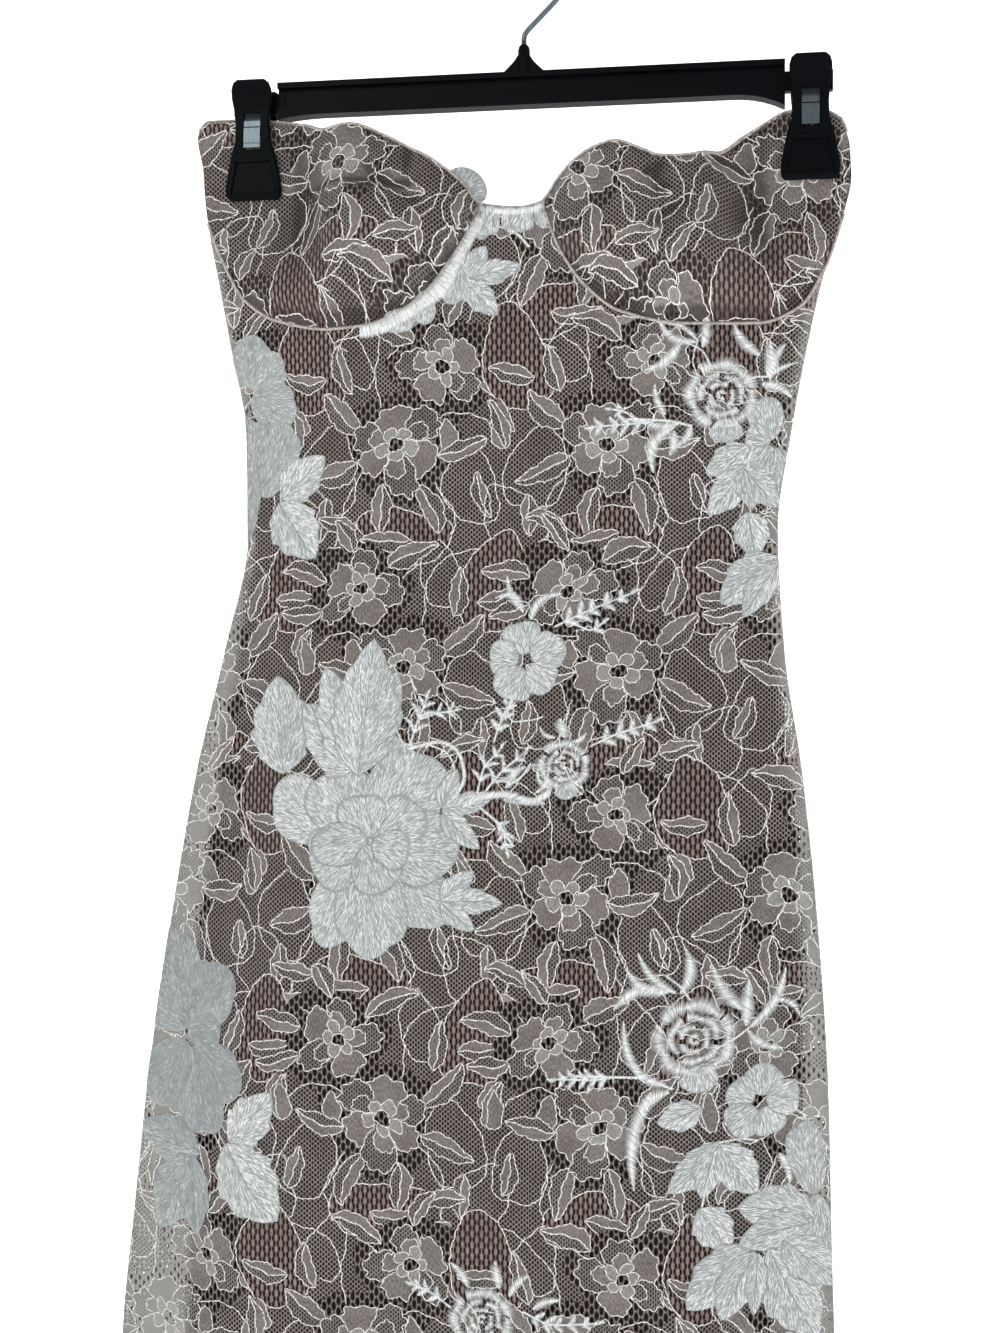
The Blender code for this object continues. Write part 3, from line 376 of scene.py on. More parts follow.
@dataclass(frozen=True)
class Tube:
    """The dress's own form: the flat-hung lace tube, its lining and its two cups."""

    fold_start: float = -0.33
    pinch_half: float = 0.025
    pinch_fade: float = 0.042
    pinch_foot: float = -0.160
    pinch_foot_fade: float = 0.075
    loose_bodice: float = 0.0006
    loose_skirt: float = 0.0024
    loose_start: float = -0.29
    loose_length: float = 0.12
    back_fold_share: float = -0.8
    cup_foot: float = 0.12
    bare_fade: float = 0.008

    def edge(self, name: str, z: np.ndarray) -> np.ndarray:
        """One named column of the outline at height z."""
        return smooth_curve(np.asarray(z, float), np.array(OUTLINE["z"]), np.array(OUTLINE[name]))

    def line(self, x: np.ndarray, knots: tuple) -> np.ndarray:
        """Height of an edge given by its knots, at X."""
        rows = np.array(knots)
        return smooth_curve(np.asarray(x, float), rows[:, 0], rows[:, 1])

    def neck(self, x: np.ndarray) -> np.ndarray:
        """Height of the front top edge at X."""
        return self.line(x, NECKLINE)

    def back_top(self, x: np.ndarray) -> np.ndarray:
        """Height of the back top edge at X."""
        return self.line(x, BACK_TOP)

    def wire(self, x: np.ndarray) -> np.ndarray:
        """Height of the seam under the cups at X, and of the gore's top edge between them."""
        x = np.asarray(x, float)
        low, high = WIRE_LEFT[-1][0], WIRE_RIGHT[0][0]
        share = np.clip((x - low) / GORE_RISE, 0, 1) * np.clip((high - x) / GORE_RISE, 0, 1)
        edge = np.where(x < (low + high) / 2, WIRE_LEFT[-1][1], WIRE_RIGHT[0][1])
        gore = edge + (self.neck(x) - edge) * share
        return np.where(x <= low, self.line(x, WIRE_LEFT),
                        np.where(x >= high, self.line(x, WIRE_RIGHT), gore))

    def pinch(self, x: np.ndarray, z: np.ndarray) -> np.ndarray:
        """How far the clips press the tube flat: 1 under a clip, 0 away from both."""
        beside = 1 - ease((np.abs(np.abs(x) - CLIP_X) - self.pinch_half) / self.pinch_fade)
        outer = np.where(np.abs(x) > CLIP_X, 1.0, beside)
        return outer * (1 - ease((self.pinch_foot - z) / self.pinch_foot_fade))

    def folds(self, x: np.ndarray, z: np.ndarray) -> np.ndarray:
        """Depth of the long soft folds: bells about lines that fan out, deepest at the hem."""
        share = ease((self.fold_start - z) / (self.fold_start - HEM))
        depth = np.zeros(np.broadcast(x, z).shape)
        for x_waist, x_hem, half_width, fold_depth in SKIRT_FOLDS:
            middle = x_waist + (x_hem - x_waist) * share
            depth = depth + fold_depth * share * np.exp(-((x - middle) / half_width) ** 2)
        return depth

    def depth(self, x: np.ndarray, z: np.ndarray, face: Face) -> np.ndarray:
        """Distance of the lace from the side-seam plane.

        A quarter-round lip at each side seam, then an eased rise to the face's full depth, less
        the pinch under the clips, with the long folds and the small creases.

        Args:
            x: places across.
            z: heights.
            face: front or back.

        Returns:
            The distance at each place.
        """
        inset = np.minimum(x - self.edge("left", z), self.edge("right", z) - x)
        lip = np.clip(inset, 0, EDGE_RADIUS)
        cap = np.sqrt(np.clip(EDGE_RADIUS ** 2 - (EDGE_RADIUS - lip) ** 2, 0, None))
        rise = ease((inset - EDGE_RADIUS) / SIDE_ROUND) * (1 - self.pinch(x, z))
        full = self.edge(face.value, z) - EDGE_RADIUS
        turned = 1.0 if face is Face.FRONT else self.back_fold_share
        creases = FRONT_CREASES if face is Face.FRONT else BACK_CREASES
        small = sum(c.press(x, z) for c in creases)
        return cap + rise * (full + turned * self.folds(x, z) - small)

    def bulge(self, x: np.ndarray, z: np.ndarray, side: str) -> np.ndarray:
        """How far a cup stands out of the panel's plane.

        A parabola across, a quarter sine up to its fullest height and a gentle fall above it,
        less its collapsed fold and its creases.

        Args:
            x: places across.
            z: heights.
            side: left or right.

        Returns:
            The distance at each place.
        """
        cup = CUPS[side]
        bottom, top = self.wire(x), self.neck(x)
        t = np.clip((z - bottom) / np.maximum(top - bottom, 0.002), 0, 1)
        across = np.clip(1 - ((x - cup.centre) / cup.half_width) ** 2, 0, None)
        rising = np.sin(pi / 2 * np.minimum(t / cup.full_at, 1)) ** 0.9
        over = np.clip(t - cup.full_at, 0, 1) / (1 - cup.full_at)
        up = np.where(t < cup.full_at, rising, 1 - (1 - cup.top_share) * over ** 1.4)
        out = cup.depth * across * up - cup.fold.press(x, z)
        for crease in CUP_CREASES:
            out = out - crease.press(x, z)
        return np.clip(out, 0, None) * (1 - self.pinch(x, z)) * ease(t / self.cup_foot)

    def bare(self, x: np.ndarray, z: np.ndarray) -> np.ndarray:
        """1 where the lace has no lining behind it, easing to 0 across the lining's edge."""
        beyond = np.maximum(-self.lining_inset(x, z), LINING_HEM - z)
        return ease(beyond / self.bare_fade + 0.5)

    def lining_inset(self, x: np.ndarray, z: np.ndarray) -> np.ndarray:
        """Distance in from the lining's nearer side, below 0 beyond it."""
        left = self.edge("left", z) + self.edge("lining_in_left", z)
        right = self.edge("right", z) - self.edge("lining_in_right", z)
        return np.minimum(x - left, right - x)

    def lining_depth(self, x: np.ndarray, z: np.ndarray, face: Face) -> np.ndarray:
        """Depth of the lining: just inside the lace, closing at its own narrower side seams."""
        inset = self.lining_inset(x, z)
        lip = np.clip(inset, 0, LINING_EDGE_RADIUS)
        cap = np.sqrt(np.clip(LINING_EDGE_RADIUS ** 2 - (LINING_EDGE_RADIUS - lip) ** 2, 0, None))
        loose = self.loose_bodice + self.loose_skirt * ease((self.loose_start - z) / self.loose_length)
        room = self.depth(x, z, face) - LACE_WALL - LINING_GAP - LINING_EDGE_RADIUS - loose
        return cap + ease((inset - LINING_EDGE_RADIUS) / LINING_SIDE_ROUND) * np.clip(room, 0, None)

    def front(self, x: np.ndarray, z: np.ndarray, out: "float | np.ndarray" = 0.0) -> np.ndarray:
        """A point on the front lace, moved out by a distance."""
        return np.stack([x, -self.depth(x, z, Face.FRONT) - out, z], axis=-1)

    def back(self, x: np.ndarray, z: np.ndarray, out: "float | np.ndarray" = 0.0) -> np.ndarray:
        """A point on the back lace, moved out by a distance."""
        return np.stack([x, self.depth(x, z, Face.BACK) + out, z], axis=-1)

    def cup(self, x: np.ndarray, z: np.ndarray, side: str,
            out: "float | np.ndarray" = 0.0) -> np.ndarray:
        """A point on a cup, moved out by a distance."""
        y = -self.depth(x, z, Face.FRONT) - self.bulge(x, z, side) - out
        return np.stack([x, y, z], axis=-1)


TUBE = Tube()


# Finishes

FLAT_NOISE = {"noise_dimensions": "2D"}


def linear(red: int, green: int, blue: int) -> tuple[float, float, float, float]:
    """A colour seen on screen, 0 to 255 each, as the light values that Blender takes."""
    parts = np.array([red, green, blue]) / 255.0
    values = np.where(parts <= 0.04045, parts / 12.92, ((parts + 0.055) / 1.055) ** 2.4)
    return (*(float(v) for v in values), 1.0)


class Wiring:
    """Adds nodes to one node tree and joins them, with short calls."""

    def __init__(self, tree: bpy.types.NodeTree) -> None:
        """Keep the tree."""
        self.tree = tree

    def add(self, kind: str, settings: dict | None = None, **inputs: object) -> bpy.types.Node:
        """Add a node, set its properties, and feed its inputs.

        Args:
            kind: the node's type name without "ShaderNode", or the full name of a group node.
            settings: node properties by name.
            inputs: input sockets by name or, as in_0, by number; a value, or a socket to join.

        Returns:
            The new node.
        """
        full = kind if kind.startswith("Node") else "ShaderNode" + kind
        node = self.tree.nodes.new(full)
        for key, value in (settings or {}).items():
            setattr(node, key, value)
        for key, value in inputs.items():
            named = key.replace("_", " ")
            socket = node.inputs[int(key[3:])] if key.startswith("in_") else node.inputs[named]
            if isinstance(value, bpy.types.NodeSocket):
                self.tree.links.new(value, socket)
            else:
                socket.default_value = value
        return node

    def math(self, operation: str, *values: object) -> bpy.types.NodeSocket:
        """One sum on numbers; gives its output socket."""
        fed = {f"in_{i}": v for i, v in enumerate(values)}
        return self.add("Math", {"operation": operation}, **fed).outputs[0]

    def vector(self, operation: str, *values: object) -> bpy.types.NodeSocket:
        """One sum on vectors; gives its first output, or its value output for a length."""
        fed = {f"in_{i}": v for i, v in enumerate(values)}
        node = self.add("VectorMath", {"operation": operation}, **fed)
        return node.outputs["Value" if operation == "LENGTH" else "Vector"]

    def blend(self, share: object, low: object, high: object) -> bpy.types.NodeSocket:
        """Mix two colours by a share; gives the colour."""
        return self.add("Mix", {"data_type": "RGBA"}, in_0=share, in_6=low, in_7=high).outputs[2]

    def steps(self, value: object, low: float, high: float) -> bpy.types.NodeSocket:
        """A value eased from 0 at low to 1 at high."""
        return self.add("MapRange", {"interpolation_type": "SMOOTHSTEP"}, Value=value,
                        From_Min=low, From_Max=high).outputs["Result"]

    def flat(self) -> bpy.types.NodeSocket:
        """The piece's flat places, from its UV map."""
        return self.add("UVMap", {"uv_map": "flat"}).outputs[0]

    def noise(self, place: object, scale: float, detail: float = 2.0,
              settings: dict | None = None) -> bpy.types.NodeSocket:
        """Clouds of noise over a place, 0 to 1."""
        return self.add("TexNoise", settings, Vector=place, Scale=scale, Detail=detail).outputs["Fac"]

    def coat(self, shader: bpy.types.Node, colour: object, height: object, strength: float,
             distance: float) -> None:
        """Give a shader its colour, and relief from a height.

        Args:
            shader: the shader.
            colour: its base colour.
            height: the relief's height.
            strength: how strong the relief is, 0 to 1.
            distance: the relief's depth, in metres.
        """
        self.tree.links.new(colour, shader.inputs["Base Color"])
        bump = self.add("Bump", Height=height, Strength=strength, Distance=distance)
        self.tree.links.new(bump.outputs[0], shader.inputs["Normal"])


class Groups:
    """The effects that several finishes share, each built once as a node group."""

    def __init__(self) -> None:
        """Build the groups."""
        self.holes = self._holes()
        self.yarn = self._yarn()

    def _new(self, name: str, inputs: dict, outputs: dict) -> tuple[bpy.types.NodeTree, Wiring]:
        """A new group with named sockets.

        Args:
            name: the group's name.
            inputs: socket kind by name.
            outputs: socket kind by name.

        Returns:
            The group and its wiring.
        """
        tree = bpy.data.node_groups.new(name, "ShaderNodeTree")
        for key, kind in inputs.items():
            tree.interface.new_socket(key, in_out="INPUT", socket_type="NodeSocket" + kind)
        for key, kind in outputs.items():
            tree.interface.new_socket(key, in_out="OUTPUT", socket_type="NodeSocket" + kind)
        return tree, Wiring(tree)

    def _holes(self) -> bpy.types.NodeTree:
        """Net: oval holes on two interleaved grids, each hole split in two where Split is set.

        The distance to the nearest hole's middle, in hole sizes, is eased into a thread mask, and into a
        wider crown share that gives relief and the painted shade round each hole.
        """
        tree, w = self._new("net_holes", {"Flat": "Vector", "Pitch": "Vector", "Hole": "Vector",
                                          "Split": "Float", "Wander": "Float", "Close": "Float"},
                            {"Thread": "Float", "Crown": "Float"})
        given = w.add("NodeGroupInput").outputs
        noise = w.add("TexNoise", FLAT_NOISE, Vector=given["Flat"], Scale=420.0, Detail=1.0)
        shift = w.vector("SUBTRACT", noise.outputs["Color"], (0.5, 0.5, 0.5))
        moved = w.add("VectorMath", {"operation": "SCALE"}, in_0=shift, Scale=given["Wander"])
        flat = w.vector("ADD", given["Flat"], moved.outputs[0])
        cell = w.vector("DIVIDE", flat, given["Pitch"])
        near = []
        for offset in (0.0, 0.5):
            part = w.vector("FRACTION", w.vector("ADD", cell, (offset, offset, 0.0)))
            away = w.vector("MULTIPLY", w.vector("SUBTRACT", part, (0.5, 0.5, 0.0)), given["Pitch"])
            parts = w.add("SeparateXYZ", in_0=away).outputs
            split = w.math("SUBTRACT", w.math("ABSOLUTE", parts["X"]), given["Split"])
            placed = w.add("CombineXYZ", X=split, Y=parts["Y"]).outputs[0]
            near.append(w.vector("LENGTH", w.vector("DIVIDE", placed, given["Hole"])))
        nearest = w.math("ADD", w.math("MINIMUM", *near), given["Close"])
        w.add("NodeGroupOutput", Thread=w.steps(nearest, 0.86, 1.10), Crown=w.steps(nearest, 0.95, 1.75))
        return tree

    def _yarn(self) -> bpy.types.NodeTree:
        """Yarn: fine broken ribs and soft clouds that vary a colour between two given ones."""
        tree, w = self._new("yarn_tone", {"Flat": "Vector", "Rib": "Vector", "Dark": "Color",
                                          "Light": "Color"}, {"Color": "Color", "Relief": "Float"})
        given = w.add("NodeGroupInput").outputs
        stretched = w.vector("MULTIPLY", given["Flat"], given["Rib"])
        ribs = w.add("TexNoise", FLAT_NOISE, Vector=stretched, Scale=1.0, Detail=2.0,
                     Roughness=0.6).outputs["Fac"]
        clouds = w.noise(given["Flat"], 55.0, settings=FLAT_NOISE)
        both = w.math("ADD", w.math("MULTIPLY", ribs, 0.75), w.math("MULTIPLY", clouds, 0.25))
        share = w.steps(both, 0.36, 0.64)
        w.add("NodeGroupOutput", Color=w.blend(share, given["Dark"], given["Light"]), Relief=share)
        return tree


GROUPS = Groups()


def new_material(name: str, roughness: float, sheen: float = 0.0,
                 metallic: float = 0.0) -> tuple[bpy.types.Material, Wiring, bpy.types.Node]:
    """A new material with its Principled shader.

    Args:
        name: the material's name.
        roughness: the shader's roughness.
        sheen: the shader's sheen weight.
        metallic: the shader's metallic value.

    Returns:
        The material, its wiring and its shader.
    """
    material = bpy.data.materials.new(name)
    material.use_nodes = True
    shader = material.node_tree.nodes["Principled BSDF"]
    shader.inputs["Roughness"].default_value = roughness
    shader.inputs["Sheen Weight"].default_value = sheen
    shader.inputs["Metallic"].default_value = metallic
    return material, Wiring(material.node_tree), shader


@dataclass(frozen=True)
class NetFinish:
    """A stretch of machine lace: its yarn colours and the holes of its net, in millimetres."""

    name: str
    dark: tuple
    light: tuple
    pitch: tuple[float, float]
    hole: tuple[float, float]
    split: float = 0.0
    wander: float = 0.12
    rib: tuple[float, float] = (1500.0, 500.0)
    # Painted shade: the dark colour that the yarn takes round each hole and in the cups' creases
    edge: tuple = linear(44, 35, 32)
    # Painted backlight: the paler colour that the yarn takes where no lining lies behind the lace
    backlit_pale: tuple = linear(160, 162, 157)

    def make(self) -> bpy.types.Material:
        """The material: yarn colour, see-through holes and a little relief, with painted shade round the
        holes and in the cups' creases, and the yarn painted paler where no lining lies behind.
        """
        material, w, shader = new_material(self.name, 0.85)
        flat = w.flat()
        tone = w.add("Group", {"node_tree": GROUPS.yarn}, Flat=flat, Rib=(*self.rib, 0.0),
                     Dark=self.dark, Light=self.light)
        # The shade attribute carries painted light: above 0, bare lace painted paler as if lit from behind;
        # below 0, painted shade in the cups' creases
        lie = w.add("Attribute", {"attribute_name": "shade"}).outputs["Fac"]
        bare, crease = w.math("MAXIMUM", lie, 0.0), w.math("MULTIPLY", lie, -0.72)
        colour, height = tone.outputs["Color"], tone.outputs["Relief"]
        if self.hole[0] > 0:
            net = w.add("Group", {"node_tree": GROUPS.holes}, Flat=flat,
                        Pitch=(self.pitch[0] * MM, self.pitch[1] * MM, 1.0),
                        Hole=(self.hole[0] * MM, self.hole[1] * MM, 1.0),
                        Split=self.split * MM, Wander=self.wander * MM, Close=w.math("MULTIPLY", bare, 0.42))
            w.tree.links.new(net.outputs["Thread"], shader.inputs["Alpha"])
            height = w.math("ADD", w.math("MULTIPLY", height, 0.4), net.outputs["Crown"])
            # Painted shade round each hole: the yarn darkens towards the hole's edge
            colour = w.blend(net.outputs["Crown"], self.edge, colour)
        # Painted backlight: bare lace is paled, as if lit from behind
        backlit_colour = w.blend(w.math("MULTIPLY", bare, 0.55), colour, self.backlit_pale)
        # Painted shade in the cups' creases: the colour darkens towards the edge colour
        w.coat(shader, w.blend(w.math("MAXIMUM", crease, 0.0), backlit_colour, self.edge), height, 0.5, 0.0002)
        return material


class Fill(Enum):
    """The kinds of ground and fill between the lace's cords; each value is a material's number."""

    FINE = 0
    OPEN = 1
    DIAMOND = 2
    TOILE = 3
    DOTTED = 4
    BRIGHT = 5


NETS = (
    NetFinish("lace_fine_net", linear(111, 102, 97), linear(154, 146, 141), (3.2, 2.8), (0.60, 0.78)),
    NetFinish("lace_open_net", linear(117, 107, 101), linear(164, 156, 150), (5.6, 6.2), (1.12, 2.25),
              wander=0.35),
    # The diamond net's edge colour is its own painted shade round the holes and in creases
    NetFinish("lace_diamond_net", linear(113, 97, 91), linear(148, 133, 127), (5.5, 6.5),
              (0.66, 1.60), split=1.05, edge=linear(72, 56, 52)),
    NetFinish("lace_toile", linear(91, 84, 80), linear(133, 127, 123), (0, 0), (0, 0)),
    NetFinish("lace_dotted_toile", linear(94, 87, 82), linear(136, 130, 125), (2.9, 2.5),
              (0.40, 0.62), wander=0.3),
    NetFinish("lace_bright_toile", linear(118, 115, 111), linear(158, 156, 153), (0, 0), (0, 0)),
)


# The lace's pattern, drawn flat in millimetres

@dataclass
class Patch:
    """One field of the lace: its closed outline, its fill, and whether a cord runs round it."""

    outline: np.ndarray
    fill: Fill
    corded: bool = True

    def moved(self, mirror: int, x: float, z: float) -> "Patch":
        """The same field mirrored or not, and shifted."""
        return Patch(self.outline * (mirror, 1) + (x, z), self.fill, self.corded)


def turned(points: np.ndarray, heading: float, x: float, z: float) -> np.ndarray:
    """Flat points turned by a heading in degrees and shifted."""
    c, s = cos(radians(heading)), sin(radians(heading))
    return points @ np.array([[c, s], [-s, c]]) + (x, z)


def petal(x: float, z: float, heading: float, length: float, width: float,
          lobes: float, ruffle: float = 0.16) -> np.ndarray:
    """A petal's outline: an egg standing on its narrow end, scalloped round its far side.

    Args:
        x: place of its narrow end.
        z: place of its narrow end.
        heading: the way it points, in degrees.
        length: from narrow end to far side.
        width: across its widest part.
        lobes: scallops round it.
        ruffle: depth of the scallops, as a share of its size.

    Returns:
        Points round the petal.
    """
    t = np.linspace(0, 2 * pi, 44, endpoint=False)
    far = (1 + np.cos(t)) / 2
    scallop = 1 + far * ruffle * (np.abs(np.sin(lobes * t / 2 + heading)) - 0.4)
    along = length * (0.5 + 0.5 * np.cos(t) * scallop)
    across = width / 2 * np.sin(t) * (0.72 + 0.38 * far) * scallop
    return turned(np.stack([along, across], axis=-1), heading, x, z)


def leaf(x: float, z: float, heading: float, length: float, width: float, bend: float,
         teeth: int, side: float = 0.0) -> np.ndarray:
    """A leaf's outline about a bent midrib: pointed at both ends, with teeth towards the tip.

    The half width is a sine of the share along, skewed to the base; a saw of that share adds the
    teeth; the midrib is an arc.

    Args:
        x: place of its base.
        z: place of its base.
        heading: the way it points at its base, in degrees.
        length: along its midrib.
        width: across its widest part.
        bend: how far the midrib turns over its length, in degrees.
        teeth: teeth on each side, or 0 for a smooth edge.
        side: 0 for the whole leaf, 1 or -1 for the half on one side of its midrib.

    Returns:
        Points round the leaf.
    """
    share = np.linspace(0, 1, 17)
    half = width / 2 * np.sin(pi * share ** 0.85) ** 0.8
    saw = (share * teeth) % 1.0 if teeth else np.zeros_like(share)
    half = half * (1 + 0.22 * (saw - 0.4) * (share < 0.98))
    angle = radians(bend) * share
    spine = length * np.stack([share * np.cos(angle / 2), share * np.sin(angle / 2)], axis=-1)
    across = np.stack([-np.sin(angle), np.cos(angle)], axis=-1)
    upper = spine + across * (half if side >= 0 else 0 * half)[:, None]
    lower = spine - across * (half if side <= 0 else 0 * half)[:, None]
    return turned(np.concatenate([upper, lower[-2:0:-1]]), heading, x, z)


def balloon(x: float, z: float, heading: float, length: float, width: float) -> np.ndarray:
    """A large loose loop about a middle: an egg with a slow uneven wave round it."""
    t = np.linspace(0, 2 * pi, 44, endpoint=False)
    wave = 1 + 0.05 * np.sin(3 * t + 0.6) + 0.03 * np.sin(5 * t + 2.0)
    egg = np.stack([length / 2 * np.cos(t) * wave,
                    width / 2 * np.sin(t) * wave * (1 - 0.18 * np.cos(t))], axis=-1)
    return turned(egg, heading, x, z)


@dataclass(frozen=True)
class Bloom:
    """One corded flower of the lace."""

    x: float
    z: float
    radius: float
    turn: float
    petals: int

    def patches(self) -> list[Patch]:
        """Its fields, outer petals first: petals, small inner petals, then its netted eye."""
        made, r = [], self.radius
        size = (1.0, 0.82, 1.16, 0.90, 1.20, 0.86, 1.06)
        for k in range(self.petals):
            heading = self.turn + 360 / self.petals * k
            share = size[k % len(size)]
            foot = 0.24 * r
            x = self.x + foot * cos(radians(heading))
            z = self.z + foot * sin(radians(heading))
            fill = Fill.TOILE if k % 2 else Fill.DOTTED
            shape = petal(x, z, heading + 9 * (k % 2), 0.80 * r * share, 0.86 * r * size[(k + 3) % 7],
                          7 + k % 3, 0.30)
            made.append(Patch(shape, fill))
            if k % 2 == 0:
                inner = turned(shape - (x, z), 12, x, z) * 0.56 + 0.44 * np.array([x, z])
                made.append(Patch(inner, Fill.DOTTED if k % 4 else Fill.TOILE))
        for k in range(5):
            heading = self.turn + 31 + 72 * k
            made.append(Patch(petal(self.x + 0.10 * r * cos(radians(heading)),
                                    self.z + 0.10 * r * sin(radians(heading)),
                                    heading, 0.36 * r * size[k], 0.34 * r, 3), Fill.BRIGHT))
        eye = petal(self.x - 0.20 * r, self.z - 0.05 * r, 10, 0.40 * r, 0.36 * r, 4)
        made.append(Patch(eye, Fill.OPEN))
        return made


# Leaves of one repeat: base x and z, heading, length, width, bend, teeth
LEAVES = (
    (23.0, 9.0, 28, 33, 14, 35, 5),
    (23.0, -8.0, -38, 34, 13, 30, 5),
    (8.0, -24.0, -72, 30, 12, -30, 4),
    (-13.0, -22.0, -128, 33, 13, 35, 5),
    (-24.0, -4.0, 184, 30, 12, -35, 4),
    (-9.0, 60.0, 42, 32, 13, -40, 5),
    (-30.0, 69.0, 108, 24, 10, 30, 4),
    (-50.0, 52.0, 152, 30, 12, 35, 5),
    (-50.0, 36.0, 205, 27, 11, -30, 4),
    (28.0, 30.0, 62, 30, 11, 30, 4),
    (46.0, -30.0, -100, 26, 10, 28, 4),
    (44.0, 40.0, -10, 28, 11, 40, 4),
    (-8.0, -54.0, -20, 30, 11, 35, 4),
    (62.0, -2.0, 96, 28, 10, -40, 4),
    (24.0, -50.0, 30, 26, 10, -30, 4),
    (-56.0, -42.0, 60, 26, 10, 30, 4),
)
# Loops of one repeat: middle x and z, heading, length, width, fill, and whether it is corded
LOOPS = (
    (0.0, 0.0, 20, 72, 66, Fill.OPEN, False),
    (-28.0, 46.0, 10, 66, 60, Fill.OPEN, False),
    (54.0, 50.0, 78, 62, 40, Fill.DIAMOND, True),
    (42.0, -14.0, 100, 50, 36, Fill.FINE, True),
    (56.0, -44.0, 60, 44, 34, Fill.FINE, True),
    (-44.0, -24.0, 75, 48, 32, Fill.FINE, True),
    (-4.0, -52.0, 15, 58, 30, Fill.DIAMOND, True),
    (22.0, 54.0, 100, 40, 24, Fill.FINE, True),
    (-30.0, 6.0, 80, 20, 11, Fill.TOILE, True),
    (60.0, 16.0, 70, 18, 8, Fill.TOILE, True),
    (34.0, -62.0, 20, 17, 8, Fill.BRIGHT, True),
    (-60.0, 8.0, 95, 22, 9, Fill.TOILE, True),
)
BLOOMS = (Bloom(0.0, 0.0, 25.0, 20, 6), Bloom(-28.0, 46.0, 22.0, 75, 5))
# Stems of one repeat, each a bent line through a few places
STEMS = (
    ((20.0, -14.0), (34.0, -34.0), (36.0, -58.0), (20.0, -78.0)),
    ((-18.0, 14.0), (-34.0, 20.0), (-52.0, 14.0), (-64.0, -4.0)),
    ((10.0, 24.0), (12.0, 44.0), (30.0, 66.0), (52.0, 72.0)),
    ((-24.0, -20.0), (-34.0, -44.0), (-22.0, -64.0), (-4.0, -76.0)),
)
REPEAT_X = 125.0
REPEAT_Z = 131.0
# How far a repeat's fields reach from its first flower
REPEAT_REACH = 110
# Size to which a covering field shrinks before it hides a cord, so that its own edge stays
COVER_SHARE = 0.955
# First flower of each row of repeats, top row first
ROW_X = (-100.0, -75.0, -70.0, -97.0, -80.0, -92.0, -74.0, -86.0)
FIRST_ROW_Z = -169.0


def drift(flat: np.ndarray) -> np.ndarray:
    """Shift flat places by slow waves and small quick ones, as soft lace lies uneven."""
    x, z = flat[:, 0], flat[:, 1]
    return np.stack([x + 1.4 * np.sin(z / 8.5 + x / 31) + 0.55 * np.sin(z / 1.9 + x / 2.7),
                     z + 1.4 * np.sin(x / 7.6 - z / 27) + 0.55 * np.sin(x / 2.1 - z / 3.3)], axis=-1)


def stem_line(knots: tuple) -> np.ndarray:
    """A smooth line through a stem's places: each coordinate is a limited-slope cubic."""
    rows = np.array(knots)
    at = np.linspace(0, len(rows) - 1, 30)
    steps = np.arange(len(rows), dtype=float)
    return np.stack([smooth_curve(at, steps, rows[:, 0]), smooth_curve(at, steps, rows[:, 1])],
                    axis=-1)


def repeat_patches() -> list[Patch]:
    """The fields of one repeat of the lace, in the order in which they cover each other."""
    made = [Patch(balloon(x, z, heading, length, width), fill, corded)
            for x, z, heading, length, width, fill, corded in LOOPS]
    for x, z, heading, length, width, bend, teeth in LEAVES:
        shape = (x, z, heading, length, width, bend, teeth)
        made.append(Patch(leaf(*shape, side=1), Fill.TOILE))
        made.append(Patch(leaf(*shape, side=-1), Fill.DOTTED))
    for bloom in BLOOMS:
        made += bloom.patches()
    return made


